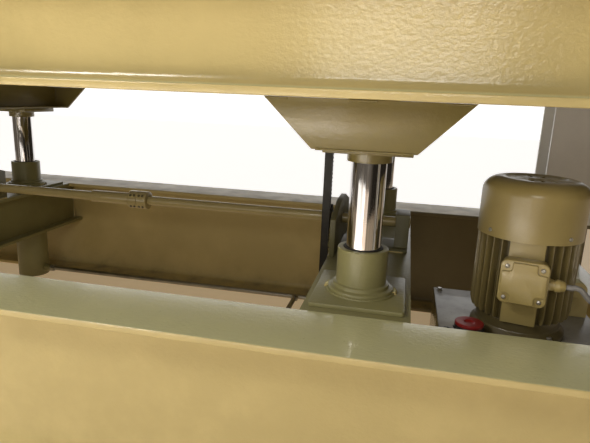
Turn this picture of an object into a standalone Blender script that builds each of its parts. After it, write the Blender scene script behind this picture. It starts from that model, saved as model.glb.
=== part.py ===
"""Panel press with a welded beam frame, four upstroke rams and a rack-levelled platen.

Metres, +Z up, X along the press, the working side at -Y. The origin is on the floor under
the middle of the frame. The model stands with its rams part way up.
"""
import math

import bmesh
import bpy
from mathutils import Matrix, Vector

# Clearances
SEAT_GAP = 0.0003
RUNNING_GAP = 0.0003
CUT_OVERRUN = 0.004

# Rams: their grid, and the level that they are bolted to
RAM_INSET = 0.585
RAM_PITCH_Y = 0.890
LIFT_DOWN = 0.185
LIFT_UP = 0.200

# Base beams
BASE_OVERHANG = 0.260
BASE_HEIGHT = 0.450
BASE_FLANGE = 0.0150
BASE_WEB = 0.0100
BASE_ROOT = 0.0210
BEAM_WIDTH = 0.190
BEAM_OFFSET = 0.234

# Cross beams that carry the rams
CROSS_WIDTH = 0.240
CROSS_HEIGHT = 0.200
CROSS_PLATE = 0.0150
CROSS_WEB = 0.0100
CROSS_LIP = 0.0120
CROSS_WEB_GAP = 0.0040

# End ties and uprights
TIE_HEIGHT = 0.200
TIE_WIDTH = 0.100
TIE_FLANGE = 0.0085
TIE_WEB = 0.0056
TIE_ROOT = 0.0120
TIE_LEVEL = 0.110
UPRIGHT_WIDTH = 0.200
UPRIGHT_FLANGE = 0.0150
UPRIGHT_WEB = 0.0090
UPRIGHT_ROOT = 0.0180
UPRIGHT_INSET = 0.013
END_PLATE = 0.0180
END_PLATE_LIP = 0.0120

# Platens and their beams
PLATEN_LENGTH = 2.800
PLATEN_WIDTH = 1.400
PLATEN_THICKNESS = 0.050
PLATEN_EDGE = 0.0020
PLATEN_RIB = 0.0120
PLATEN_RIB_DEPTH = 0.150
PLATEN_RIB_PITCHES = 7
PLATEN_RIB_PLACES = (-3, -1, 0, 1, 3)
MOVING_HEIGHT = 0.240
MOVING_FLANGE = 0.0150
MOVING_WEB = 0.0100
MOVING_ROOT = 0.0210
TOP_HEIGHT = 0.300
TOP_FLANGE = 0.0140
TOP_WEB = 0.0090
TOP_ROOT = 0.0180
CLOSED_GAP = 0.005

# Ram: rod, cylinder and head
ROD_RADIUS = 0.0400
ROD_CHAMFER = 0.0015
PISTON_RADIUS = 0.0522
PISTON_HEIGHT = 0.0400
PISTON_MARGIN = 0.0050
NECK_RADIUS = 0.0595
NECK_TOP = 0.116
NECK_EDGE = 0.0030
GLAND_LENGTH = 0.060
STEP_RADIUS = 0.0660
STEP_TOP = 0.0310
COLLAR_RADIUS = 0.0776
COLLAR_TOP = 0.0210
COLLAR_EDGE = 0.0040
TUBE_RADIUS = 0.0665
FLOOR_CLEARANCE = 0.025
CAP_THICKNESS = 0.022
MOUNT_PLATE = 0.0100
MOUNT_WIDTH = 0.212
MOUNT_DEPTH = 0.236
SEAL_RADIUS = 0.0470
SEAL_DEPTH = 0.0080
SEAL_PROUD = 0.0020
ROD_SHOWN = 0.2020
HEAD_RADIUS = 0.0514
HEAD_THICKNESS = 0.0230
HEAD_PLATE = 0.0160
HEAD_PLATE_WIDTH = 0.190

# Lift beams: the welded beams over each pair of rams, with a gusset at both ends
LIFT_BEAM_WIDTH = 0.080
LIFT_BEAM_RISE = 0.0960
GUSSET_PLATE = 0.0120
GUSSET_BOTTOM = 0.200
GUSSET_TOP = 0.394
GUSSET_OFFSET = 0.200
LIFT_STRIP_WIDTH = 0.190
LIFT_STRIP = 0.0080

# Levelling gear: a torsion shaft with a pinion at both ends, and two racks
TOOTH_MODULE = 0.0040
PINION_TEETH = 18
PRESSURE_ANGLE = math.radians(20)
TOOTH_PLAY = 0.0004
ADDENDUM_SHARE = 1.0
DEDENDUM_SHARE = 1.3
PINION_WIDTH = 0.0240
PINION_OFFSET = 0.149
RACK_WIDTH = 0.0240
RACK_BACK = 0.0210
RACK_TAIL = 0.0300
SHAFT_RADIUS = 0.0160
SHAFT_RISE = 0.081
SHAFT_END = 0.112
SHAFT_JOINT_GAP = 0.0040
SLEEVE_RADIUS = 0.0210
SLEEVE_LENGTH = 0.148
COUPLING_RADIUS = 0.0310
COUPLING_LENGTH = 0.068
COUPLING_EDGE = 0.0030
COUPLING_SLIT = 0.0030
BRACKET_PLATE = 0.0200
BRACKET_LIP = 0.0040
STAND_PLATE = 0.0160
STAND_FACE_OFFSET = 0.101
STAND_HALF_SPAN = 0.182
STAND_SHOULDER = 0.112
STAND_TOP = 0.150
STAND_TOP_SPAN = 0.100
STAND_BASE = 0.0100
STAND_BASE_DEPTH = 0.130
BLOCK_WIDTH = 0.0340
BLOCK_HEIGHT = 0.0640
BLOCK_DEPTH = 0.0900

# Oil tank and what stands on its lid
TANK_WALL = 0.0040
TANK_LEFT = 0.194
TANK_LENGTH = 0.391
TANK_DEPTH = 0.437
TANK_BACK = 0.123
TANK_FLOOR = 0.045
LID_THICKNESS = 0.0060
LID_DROP = 0.078
SKID_WIDTH = 0.050
SKID_REACH = 0.050
SKID_FOOT = 0.060
FILLER_X = 0.257
FILLER_Y = -0.004
FILLER_RADIUS = 0.0300
FILLER_FLANGE = 0.0370
FILLER_FLANGE_THICKNESS = 0.0050
FILLER_HEIGHT = 0.0200
CAP_RADIUS = 0.0345
CAP_HEIGHT = 0.0200
CAP_GRIPS = 18
CAP_GRIP_DEPTH = 0.0014
VALVE_LENGTH = 0.066
VALVE_DEPTH = 0.090
VALVE_HEIGHT = 0.058
VALVE_MARGIN = 0.010
SOLENOID_RADIUS = 0.0220
SOLENOID_LENGTH = 0.116
SOLENOID_SEAT = 0.0180

# Motor, upright on the tank
MOTOR_X = 0.380
MOTOR_Y = 0.096
MOTOR_TURN = math.radians(-12)
SHIELD_RADIUS = 0.108
SHIELD_FLANGE = 0.0120
SHIELD_NECK = 0.0960
SHIELD_HEIGHT = 0.0480
STATOR_RADIUS = 0.0940
FIN_RADIUS = 0.1130
FIN_THICKNESS = 0.0046
FIN_COUNT = 32
STATOR_HEIGHT = 0.205
PAD_WIDTH = 0.074
PAD_REACH = 0.106
COWL_RADIUS = 0.1160
COWL_WALL = 0.0020
COWL_BOTTOM = 0.163
COWL_TOP = 0.294
COWL_SHOULDER = 0.0340
COWL_CROWN = 0.0800
COWL_SLOTS = 10
COWL_SLOT_INNER = 0.0220
COWL_SLOT_OUTER = 0.0600
COWL_SLOT_WIDTH = 0.0080
COWL_LUG = 0.0180
FAN_BLADES = 7
FAN_RADIUS = 0.0880
FAN_HUB = 0.0260
FAN_HEIGHT = 0.0450
FAN_BLADE = 0.0030
FAN_RISE = 0.0200
FAN_BOSS = 0.0300
BOX_SIZE = 0.092
BOX_CORNER = 0.0120
BOX_BASE_DEPTH = 0.034
BOX_LID_DEPTH = 0.016
BOX_LID_LIP = 0.0030
BOX_LID_EDGE = 0.0040
BOX_RISE = 0.036
GLAND_RADIUS = 0.0125
GLAND_NUT = 0.0150
GLAND_SHORT = 0.0120
GLAND_TIP = 0.0260

# Motor lead and the junction box that it runs to
LEAD_RADIUS = 0.0060
LEAD_STEP = 0.0120
JUNCTION_WIDTH = 0.100
JUNCTION_HEIGHT = 0.120
JUNCTION_DEPTH = 0.060
JUNCTION_RISE = 0.060
JUNCTION_EDGE = 0.0040

# Oil lines
LINE_RADIUS = 0.0100
LINE_LEVEL = 0.060
PORT_RADIUS = 0.0160
PORT_LENGTH = 0.0300
PORT_ROOT = 0.0060
MANIFOLD_INSET = 0.335
FEED_Y = -0.200

# Facets
ROUND_STEPS = 24
SMALL_STEPS = 16
FILLET_STEPS = 3
FLANK_STEPS = 2
SHARP_ANGLE = math.radians(32)

# Places that follow from the sizes above
BASE_LENGTH = PLATEN_LENGTH + 2 * BASE_OVERHANG
PLATEN_RIB_PITCH = PLATEN_LENGTH / PLATEN_RIB_PITCHES
RAM_X = PLATEN_LENGTH / 2 - RAM_INSET
MANIFOLD_X = RAM_X - MANIFOLD_INSET
RAM_Y = RAM_PITCH_Y / 2
BEAM_Y = RAM_Y + BEAM_OFFSET
BEAM_INNER_Y = BEAM_Y - BEAM_WIDTH / 2
HEAD_LEVEL = BASE_HEIGHT + NECK_TOP + ROD_SHOWN
HEAD_PLATE_LEVEL = HEAD_LEVEL + HEAD_THICKNESS
LIFT_LEVEL = HEAD_PLATE_LEVEL + HEAD_PLATE + SEAT_GAP
MOVING_LEVEL = LIFT_LEVEL + LIFT_BEAM_RISE + SEAT_GAP
LOWER_PLATEN_LEVEL = MOVING_LEVEL + MOVING_HEIGHT + SEAT_GAP
UPPER_PLATEN_LEVEL = LOWER_PLATEN_LEVEL + PLATEN_THICKNESS + LIFT_UP + CLOSED_GAP
TOP_LEVEL = UPPER_PLATEN_LEVEL + PLATEN_THICKNESS + SEAT_GAP
UPRIGHT_X = BASE_LENGTH / 2 - UPRIGHT_INSET - UPRIGHT_WIDTH / 2
SHAFT_Z = BASE_HEIGHT + SHAFT_RISE
PITCH_RADIUS = TOOTH_MODULE * PINION_TEETH / 2
PINION_X = RAM_X - PINION_OFFSET
LID_TOP = BASE_HEIGHT - LID_DROP
TANK_X = RAM_X + TANK_LEFT
MOTOR_AXIS = Vector((RAM_X + MOTOR_X, MOTOR_Y - RAM_Y, 0))
CAP_AXIS = Vector((RAM_X + FILLER_X, FILLER_Y - RAM_Y, 0))
STATOR_LEVEL = LID_TOP + SEAT_GAP + SHIELD_HEIGHT + SEAT_GAP
STATOR_TOP = STATOR_LEVEL + STATOR_HEIGHT

PAINT = ("frame_paint", (0.50, 0.46, 0.27), 0.38, 0.0)
CHROME = ("rod_chrome", (0.72, 0.70, 0.68), 0.10, 1.0)
BLACK_STEEL = ("rack_steel", (0.035, 0.033, 0.028), 0.45, 0.8)
RUBBER = ("seal_rubber", (0.02, 0.02, 0.02), 0.60, 0.0)
GREY_LID = ("lid_steel", (0.42, 0.42, 0.43), 0.45, 0.6)
MACHINED = ("platen_steel", (0.45, 0.44, 0.42), 0.35, 1.0)
RED = ("cap_red", (0.55, 0.03, 0.03), 0.40, 0.0)
BLACK = ("black_plastic", (0.02, 0.02, 0.02), 0.50, 0.0)
LEAD_GREY = ("lead_grey", (0.25, 0.25, 0.25), 0.60, 0.0)


def clear_scene():
    for obj in list(bpy.data.objects):
        bpy.data.objects.remove(obj, do_unlink=True)


def material(spec):
    name, colour, roughness, metallic = spec
    if name in bpy.data.materials:
        return bpy.data.materials[name]
    made = bpy.data.materials.new(name)
    made.use_nodes = True
    shader = made.node_tree.nodes["Principled BSDF"]
    shader.inputs["Base Color"].default_value = (*colour, 1)
    shader.inputs["Roughness"].default_value = roughness
    shader.inputs["Metallic"].default_value = metallic
    return made


def add(name, bm, finish=PAINT, at=(0, 0, 0), turn=0.0, carrier=None, smooth=False):
    """Make one named object from a bmesh. at is its world place, also under a carrier."""
    bmesh.ops.recalc_face_normals(bm, faces=bm.faces)
    mesh = bpy.data.meshes.new(name)
    bm.to_mesh(mesh)
    bm.free()
    if smooth:
        mesh.shade_smooth()
        mesh.set_sharp_from_angle(angle=SHARP_ANGLE)
    obj = bpy.data.objects.new(name, mesh)
    bpy.context.scene.collection.objects.link(obj)
    if finish:
        mesh.materials.append(material(finish))
    obj.parent = carrier
    obj.location = Vector(at) - (carrier.location if carrier else Vector())
    obj.rotation_euler.z = turn
    return obj


def add_carrier(name, at):
    empty = bpy.data.objects.new(name, None)
    empty.location = at
    bpy.context.scene.collection.objects.link(empty)
    return empty


def boolean(obj, tool, operation):
    tool.hide_render = True
    tool.display_type = "WIRE"
    step = obj.modifiers.new(operation.lower(), "BOOLEAN")
    step.operation = operation
    step.solver = "EXACT"
    step.object = tool


def fuse(obj, name, bm, at=(0, 0, 0), turn=0.0, carrier=None):
    boolean(obj, add(name, bm, None, at, turn, carrier), "UNION")


def carve(obj, name, bm, at=(0, 0, 0), turn=0.0, carrier=None):
    boolean(obj, add(name, bm, None, at, turn, carrier), "DIFFERENCE")


def prism(outline, axis, start, stop):
    """Extrude a closed outline along X (outline in Y, Z), Y (in X, Z) or Z (in X, Y)."""
    place = {
        "X": lambda a, b, t: (t, a, b),
        "Y": lambda a, b, t: (a, t, b),
        "Z": lambda a, b, t: (a, b, t),
    }[axis]
    bm = bmesh.new()
    near = [bm.verts.new(place(a, b, start)) for a, b in outline]
    far = [bm.verts.new(place(a, b, stop)) for a, b in outline]
    bm.faces.new(near)
    bm.faces.new(list(reversed(far)))
    count = len(outline)
    for i in range(count):
        j = (i + 1) % count
        bm.faces.new((near[i], near[j], far[j], far[i]))
    return bm


def block(low, high):
    (x0, y0, z0), (x1, y1, z1) = low, high
    return prism([(x0, y0), (x1, y0), (x1, y1), (x0, y1)], "Z", z0, z1)


def turned(profile, steps, axis="Z"):
    """Revolve points (radius, height). Ends on the axis close a solid; others make a ring."""
    bm = bmesh.new()
    rings = []
    for radius, height in profile:
        if radius == 0:
            rings.append([bm.verts.new((0, 0, height))] * steps)
            continue
        angles = [2 * math.pi * i / steps for i in range(steps)]
        rings.append([bm.verts.new((radius * math.cos(a), radius * math.sin(a), height)) for a in angles])
    solid = profile[0][0] == 0
    pairs = list(zip(rings, rings[1:])) if solid else list(zip(rings, rings[1:] + rings[:1]))
    for low, high in pairs:
        for i in range(steps):
            j = (i + 1) % steps
            corners = list(dict.fromkeys((low[i], low[j], high[j], high[i])))
            bm.faces.new(corners)
    if axis == "X":
        bmesh.ops.transform(bm, matrix=Matrix.Rotation(math.pi / 2, 4, "Y"), verts=bm.verts)
    if axis == "Y":
        bmesh.ops.transform(bm, matrix=Matrix.Rotation(-math.pi / 2, 4, "X"), verts=bm.verts)
    return bm


def rod_shape(radius, low, high, steps=ROUND_STEPS, axis="Z"):
    return turned([(0, low), (radius, low), (radius, high), (0, high)], steps, axis)


def arc(centre, radius, start, stop, steps):
    spread = [start + (stop - start) * i / steps for i in range(steps + 1)]
    return [(centre[0] + radius * math.cos(a), centre[1] + radius * math.sin(a)) for a in spread]


def rounded(width, height, corner, steps=FILLET_STEPS):
    """A rectangle round the origin with rounded corners."""
    a, b = width / 2 - corner, height / 2 - corner
    quarter = math.pi / 2
    points = []
    for i, (x, y) in enumerate(((a, b), (-a, b), (-a, -b), (a, -b))):
        points += arc((x, y), corner, i * quarter, (i + 1) * quarter, steps)
    return points


def i_section(width, height, flange, web, root):
    """A rolled beam: (across, up), standing on zero, with its root fillets."""
    half, wall = width / 2, web / 2
    upper = [(half, height), (half, height - flange)]
    upper += arc((wall + root, height - flange - root), root, math.pi / 2, math.pi, FILLET_STEPS)
    lower = [(a, height - b) for a, b in reversed(upper)]
    right = upper + lower
    return right + [(-a, b) for a, b in reversed(right)]


def shifted(outline, across, up):
    return [(a + across, b + up) for a, b in outline]


def base_beams():
    section = i_section(BEAM_WIDTH, BASE_HEIGHT, BASE_FLANGE, BASE_WEB, BASE_ROOT)
    for name, side in (("base_beam_front", -1), ("base_beam_rear", 1)):
        add(name, prism(section, "X", -BASE_LENGTH / 2, BASE_LENGTH / 2), at=(0, side * BEAM_Y, 0), smooth=True)


def cross_section():
    """Two webs under one plate, each with a lip that points outwards. Zero is the top."""
    half, inner = CROSS_WIDTH / 2, TUBE_RADIUS + CROSS_WEB_GAP
    outer = inner + CROSS_WEB
    right = [
        (half, 0), (half, -CROSS_PLATE), (outer, -CROSS_PLATE), (outer, CROSS_LIP - CROSS_HEIGHT),
        (half, CROSS_LIP - CROSS_HEIGHT), (half, -CROSS_HEIGHT), (inner, -CROSS_HEIGHT), (inner, -CROSS_PLATE),
    ]
    return right + [(-a, b) for a, b in reversed(right)]


def cross_beams():
    reach = BEAM_Y - BASE_WEB / 2 - SEAT_GAP
    for name, side in (("cross_beam_left", -1), ("cross_beam_right", 1)):
        place = (side * RAM_X, 0, BASE_HEIGHT)
        beam = add(name, prism(cross_section(), "Y", -reach, reach), at=place)
        for end, row in ((-1, "front"), (1, "rear")):
            carve(beam, f"{name}_cope_{row}", cross_cope(end, reach), place)
            hole = rod_shape(TUBE_RADIUS + RUNNING_GAP, -CROSS_PLATE - CUT_OVERRUN, CUT_OVERRUN)
            carve(beam, f"{name}_hole_{row}", hole, (side * RAM_X, end * RAM_Y, BASE_HEIGHT))


def cross_cope(end, reach):
    """The notch for the base beam's flange, deeper by the web to clear its root fillet."""
    shallow = -BASE_FLANGE - SEAT_GAP
    deep = shallow - BASE_ROOT
    bend, near, far = reach - BASE_ROOT, BEAM_INNER_Y - SEAT_GAP, reach + CUT_OVERRUN
    notch = [(near, CUT_OVERRUN), (far, CUT_OVERRUN), (far, deep), (bend, deep), (bend, shallow), (near, shallow)]
    wide = CROSS_WIDTH / 2 + CUT_OVERRUN
    return prism([(end * a, b) for a, b in notch], "X", -wide, wide)


def end_ties():
    section = i_section(TIE_WIDTH, TIE_HEIGHT, TIE_FLANGE, TIE_WEB, TIE_ROOT)
    reach = BEAM_Y - BASE_WEB / 2 - SEAT_GAP
    for name, side in (("end_tie_left", -1), ("end_tie_right", 1)):
        add(name, prism(section, "Y", -reach, reach), at=(side * UPRIGHT_X, 0, TIE_LEVEL), smooth=True)


def uprights():
    height = TOP_LEVEL - SEAT_GAP - BASE_HEIGHT - SEAT_GAP
    half = BEAM_WIDTH / 2
    section = shifted(i_section(UPRIGHT_WIDTH, BEAM_WIDTH, UPRIGHT_FLANGE, UPRIGHT_WEB, UPRIGHT_ROOT), 0, -half)
    plate_half = UPRIGHT_WIDTH / 2 + END_PLATE_LIP
    for front, y in (("front", -1), ("rear", 1)):
        for side, x in (("left", -1), ("right", 1)):
            name = f"upright_{front}_{side}"
            place = (x * UPRIGHT_X, y * BEAM_Y, BASE_HEIGHT + SEAT_GAP)
            post = add(name, prism(section, "Z", 0, height), at=place, smooth=True)
            low = block((-plate_half, -half, 0), (plate_half, half, END_PLATE))
            high = block((-plate_half, -half, height - END_PLATE), (plate_half, half, height))
            fuse(post, f"{name}_foot", low, place)
            fuse(post, f"{name}_head", high, place)


def top_beams():
    section = i_section(BEAM_WIDTH, TOP_HEIGHT, TOP_FLANGE, TOP_WEB, TOP_ROOT)
    for name, side in (("top_beam_front", -1), ("top_beam_rear", 1)):
        place = (0, side * BEAM_Y, TOP_LEVEL)
        add(name, prism(section, "X", -BASE_LENGTH / 2, BASE_LENGTH / 2), at=place, smooth=True)


def ribbed_platen(name, level, rib_side, carrier=None):
    """A flat platen with cross ribs on its back, between the beams that carry it."""
    half_x, half_y, half_z = PLATEN_LENGTH / 2, PLATEN_WIDTH / 2, PLATEN_THICKNESS / 2
    place = (0, 0, level + half_z)
    plate = add(name, block((-half_x, -half_y, -half_z), (half_x, half_y, half_z)), MACHINED, place, carrier=carrier)
    edge = plate.modifiers.new("edge", "BEVEL")
    edge.width = PLATEN_EDGE
    edge.segments = 1
    rib_reach = BEAM_INNER_Y - SEAT_GAP
    low, high = sorted((rib_side * (half_z - CUT_OVERRUN), rib_side * (half_z + PLATEN_RIB_DEPTH)))
    for i in PLATEN_RIB_PLACES:
        x = i * PLATEN_RIB_PITCH
        rib = block((x - PLATEN_RIB / 2, -rib_reach, low), (x + PLATEN_RIB / 2, rib_reach, high))
        fuse(plate, f"{name}_rib{i}", rib, place, carrier=carrier)


def ram_names():
    for row, y in (("front", -1), ("rear", 1)):
        for side, x in (("left", -1), ("right", 1)):
            yield f"{row}_{side}", x, y


def cylinder_profile():
    """The cylinder's section from the axis out, up and back down its bore. Zero is the cross beam's top."""
    base = FLOOR_CLEARANCE - BASE_HEIGHT
    bore = PISTON_RADIUS + RUNNING_GAP
    slide = ROD_RADIUS + RUNNING_GAP
    return [
        (0, base), (TUBE_RADIUS, base), (TUBE_RADIUS, MOUNT_PLATE / 2), (COLLAR_RADIUS, MOUNT_PLATE / 2),
        (COLLAR_RADIUS, COLLAR_TOP - COLLAR_EDGE), (COLLAR_RADIUS - COLLAR_EDGE, COLLAR_TOP),
        (STEP_RADIUS, COLLAR_TOP), (STEP_RADIUS, STEP_TOP - COLLAR_EDGE), (NECK_RADIUS, STEP_TOP),
        (NECK_RADIUS, NECK_TOP - NECK_EDGE), (NECK_RADIUS - NECK_EDGE, NECK_TOP),
        (SEAL_RADIUS, NECK_TOP), (SEAL_RADIUS, NECK_TOP - SEAL_DEPTH), (slide, NECK_TOP - SEAL_DEPTH),
        (slide, NECK_TOP - GLAND_LENGTH), (bore, NECK_TOP - GLAND_LENGTH),
        (bore, base + CAP_THICKNESS), (0, base + CAP_THICKNESS),
    ]


def cylinders():
    half_x, half_y = MOUNT_WIDTH / 2, MOUNT_DEPTH / 2
    corner = MOUNT_PLATE / 2
    for name, x, y in ram_names():
        place = (x * RAM_X, y * RAM_Y, BASE_HEIGHT + SEAT_GAP)
        body = add(f"cylinder_{name}", turned(cylinder_profile(), ROUND_STEPS), at=place, smooth=True)
        plate = prism(rounded(2 * half_x, 2 * half_y, corner, 2), "Z", 0, MOUNT_PLATE)
        tool = add(f"cylinder_{name}_plate", plate, None, place)
        hollow = rod_shape(PISTON_RADIUS + CUT_OVERRUN, -CUT_OVERRUN, MOUNT_PLATE + CUT_OVERRUN, SMALL_STEPS)
        carve(tool, f"cylinder_{name}_clear", hollow, place)
        boolean(body, tool, "UNION")
        # The oil port faces the middle of the press
        start, stop = sorted((-x * (TUBE_RADIUS - PORT_ROOT), -x * (TUBE_RADIUS + PORT_LENGTH)))
        port = rod_shape(PORT_RADIUS, start, stop, SMALL_STEPS, "X")
        fuse(body, f"cylinder_{name}_port", port, (place[0], place[1], LINE_LEVEL))


def seals():
    inner, outer = ROD_RADIUS + RUNNING_GAP, SEAL_RADIUS - SEAT_GAP
    low, high = NECK_TOP - SEAL_DEPTH + SEAT_GAP, NECK_TOP + SEAL_PROUD
    ring = [(outer, low), (outer, high), (inner, high), (inner, low)]
    for name, x, y in ram_names():
        place = (x * RAM_X, y * RAM_Y, BASE_HEIGHT + SEAT_GAP)
        add(f"rod_seal_{name}", turned(ring, ROUND_STEPS), RUBBER, place, smooth=True)


def rods(carrier):
    top = HEAD_LEVEL - SEAT_GAP
    crown = BASE_HEIGHT + NECK_TOP - GLAND_LENGTH - LIFT_UP - PISTON_MARGIN
    profile = [
        (0, crown - PISTON_HEIGHT), (PISTON_RADIUS, crown - PISTON_HEIGHT), (PISTON_RADIUS, crown),
        (ROD_RADIUS, crown), (ROD_RADIUS, top - ROD_CHAMFER), (ROD_RADIUS - ROD_CHAMFER, top), (0, top),
    ]
    for name, x, y in ram_names():
        rod = turned(profile, ROUND_STEPS)
        add(f"rod_{name}", rod, CHROME, (x * RAM_X, y * RAM_Y, 0), carrier=carrier, smooth=True)


def rod_heads(carrier):
    for name, x, y in ram_names():
        place = (x * RAM_X, y * RAM_Y, 0)
        disc = rod_shape(HEAD_RADIUS, HEAD_LEVEL, HEAD_PLATE_LEVEL + HEAD_PLATE / 2)
        head = add(f"rod_head_{name}", disc, PAINT, place, carrier=carrier, smooth=True)
        half = HEAD_PLATE_WIDTH / 2
        plate = block((-half, -half, HEAD_PLATE_LEVEL), (half, half, HEAD_PLATE_LEVEL + HEAD_PLATE))
        fuse(head, f"rod_head_{name}_plate", plate, place, carrier=carrier)


def lift_beams(carrier):
    """Each beam bears on two rods, and rises between the moving beams to the platen."""
    end = RAM_Y + GUSSET_OFFSET
    top = LIFT_LEVEL + LIFT_BEAM_RISE
    half = LIFT_BEAM_WIDTH / 2
    crest = LOWER_PLATEN_LEVEL - SEAT_GAP
    inner = BEAM_INNER_Y - SEAT_GAP
    profile = [(-end, LIFT_LEVEL), (end, LIFT_LEVEL), (end, top), (inner, top), (inner, crest),
               (-inner, crest), (-inner, top), (-end, top)]
    gusset = [(-GUSSET_BOTTOM / 2, LIFT_LEVEL), (GUSSET_BOTTOM / 2, LIFT_LEVEL),
              (GUSSET_TOP / 2, top), (-GUSSET_TOP / 2, top)]
    rack_face = -PITCH_RADIUS - TOOTH_MODULE * DEDENDUM_SHARE - RACK_BACK - SEAT_GAP
    for name, side in (("lift_beam_left", -1), ("lift_beam_right", 1)):
        place = (side * RAM_X, 0, 0)
        beam = add(name, prism(profile, "X", -half, half), at=place, carrier=carrier)
        for i, y in (("front", -end), ("rear", end - GUSSET_PLATE)):
            fuse(beam, f"{name}_gusset_{i}", prism(gusset, "Y", y, y + GUSSET_PLATE), place, carrier=carrier)
        strip_half = LIFT_STRIP_WIDTH / 2
        strip_end = end - GUSSET_PLATE / 2
        strip = block((-strip_half, -strip_end, LIFT_LEVEL), (strip_half, strip_end, LIFT_LEVEL + LIFT_STRIP))
        fuse(beam, f"{name}_strip", strip, place, carrier=carrier)
        # The arm that the rack is bolted to, on the side that faces the middle
        reach = PINION_OFFSET + RACK_WIDTH / 2 + BRACKET_LIP
        near, far = sorted((-side * (half - CUT_OVERRUN), -side * reach))
        arm = block((near, rack_face - BRACKET_PLATE, LIFT_LEVEL + LIFT_STRIP / 2), (far, rack_face, top))
        fuse(beam, f"{name}_arm", arm, place, carrier=carrier)


def moving_beams(carrier):
    section = i_section(BEAM_WIDTH, MOVING_HEIGHT, MOVING_FLANGE, MOVING_WEB, MOVING_ROOT)
    half = PLATEN_LENGTH / 2
    for name, side in (("moving_beam_front", -1), ("moving_beam_rear", 1)):
        place = (0, side * BEAM_Y, MOVING_LEVEL)
        add(name, prism(section, "X", -half, half), at=place, carrier=carrier, smooth=True)


def involute(angle):
    return math.tan(angle) - angle


def pinion_outline():
    """Involute teeth, thinned by the play, with one tooth on the +a axis."""
    tip = PITCH_RADIUS + TOOTH_MODULE * ADDENDUM_SHARE
    root = PITCH_RADIUS - TOOTH_MODULE * DEDENDUM_SHARE
    base = PITCH_RADIUS * math.cos(PRESSURE_ANGLE)
    half_pitch = math.pi / (2 * PINION_TEETH) - TOOTH_PLAY / (2 * PITCH_RADIUS)
    foot = half_pitch + involute(PRESSURE_ANGLE)
    flank = [(root, foot)]
    for i in range(FLANK_STEPS + 1):
        radius = base + (tip - base) * i / FLANK_STEPS
        flank.append((radius, foot - involute(math.acos(min(1, base / radius)))))
    points = []
    for tooth in range(PINION_TEETH):
        centre = 2 * math.pi * tooth / PINION_TEETH
        polar = [(r, centre - a) for r, a in flank] + [(r, centre + a) for r, a in reversed(flank)]
        points += [(r * math.cos(a), r * math.sin(a)) for r, a in polar]
    return points


def rack_outline():
    """Straight-sided teeth that face +Y, with a gap at the shaft's level at rest."""
    pitch = math.pi * TOOTH_MODULE
    crest = -PITCH_RADIUS + TOOTH_MODULE * ADDENDUM_SHARE
    valley = -PITCH_RADIUS - TOOTH_MODULE * DEDENDUM_SHARE
    slope = math.tan(PRESSURE_ANGLE)
    half = pitch / 4 - TOOTH_PLAY / 2
    half_crest = half - TOOTH_MODULE * ADDENDUM_SHARE * slope
    half_valley = half + TOOTH_MODULE * DEDENDUM_SHARE * slope
    first = -math.ceil((LIFT_UP + RACK_TAIL) / pitch)
    last = math.ceil((LIFT_DOWN + RACK_TAIL) / pitch)
    top = LIFT_LEVEL + LIFT_BEAM_RISE - SHAFT_Z
    back = valley - RACK_BACK
    bottom = (first - 1 / 2) * pitch
    points = [(back, top), (back, bottom), (valley, bottom)]
    for i in range(first, last):
        middle = (i + 1 / 2) * pitch
        points += [(valley, middle - half_valley), (crest, middle - half_crest),
                   (crest, middle + half_crest), (valley, middle + half_valley)]
    return points + [(valley, top)]


def levelling_racks(carrier):
    half = RACK_WIDTH / 2
    for name, side in (("rack_left", -1), ("rack_right", 1)):
        rack = prism(rack_outline(), "X", -half, half)
        add(name, rack, BLACK_STEEL, (side * PINION_X, 0, SHAFT_Z), carrier=carrier)


def pinions(carrier):
    half = PINION_WIDTH / 2
    outline = [(-a, b) for a, b in pinion_outline()]
    for name, side in (("pinion_left", -1), ("pinion_right", 1)):
        place = (side * PINION_X, 0, SHAFT_Z)
        gear = add(name, prism(outline, "X", -half, half), BLACK_STEEL, place, carrier=carrier)
        bore = rod_shape(SHAFT_RADIUS + SEAT_GAP, -half - CUT_OVERRUN, half + CUT_OVERRUN, SMALL_STEPS, "X")
        carve(gear, f"{name}_bore", bore, place, carrier=carrier)


def torsion_shaft(carrier):
    reach = RAM_X + SHAFT_END
    inner = SHAFT_JOINT_GAP / 2
    collar = COUPLING_LENGTH / 2 + SEAT_GAP
    sleeve = collar + SLEEVE_LENGTH
    place = (0, 0, SHAFT_Z)
    left = turned([(0, -reach), (SHAFT_RADIUS, -reach), (SHAFT_RADIUS, -sleeve), (SLEEVE_RADIUS, -sleeve),
                   (SLEEVE_RADIUS, -collar), (SHAFT_RADIUS, -collar), (SHAFT_RADIUS, -inner), (0, -inner)],
                  SMALL_STEPS, "X")
    add("torsion_shaft_left", left, PAINT, place, carrier=carrier, smooth=True)
    right = rod_shape(SHAFT_RADIUS, inner, reach, SMALL_STEPS, "X")
    add("torsion_shaft_right", right, PAINT, place, carrier=carrier, smooth=True)
    half, bore = COUPLING_LENGTH / 2, SHAFT_RADIUS + SEAT_GAP
    ring = [(bore, -half), (COUPLING_RADIUS - COUPLING_EDGE, -half), (COUPLING_RADIUS, COUPLING_EDGE - half),
            (COUPLING_RADIUS, half - COUPLING_EDGE), (COUPLING_RADIUS - COUPLING_EDGE, half), (bore, half)]
    coupling = add("shaft_coupling", turned(ring, SMALL_STEPS, "X"), PAINT, place, carrier=carrier, smooth=True)
    # The slit that lets the clamp close on the shaft
    wide = half + CUT_OVERRUN
    slit = block((-wide, 0, -COUPLING_SLIT / 2), (wide, COUPLING_RADIUS + CUT_OVERRUN, COUPLING_SLIT / 2))
    carve(coupling, "shaft_coupling_slit", slit, place, carrier=carrier)


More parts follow.
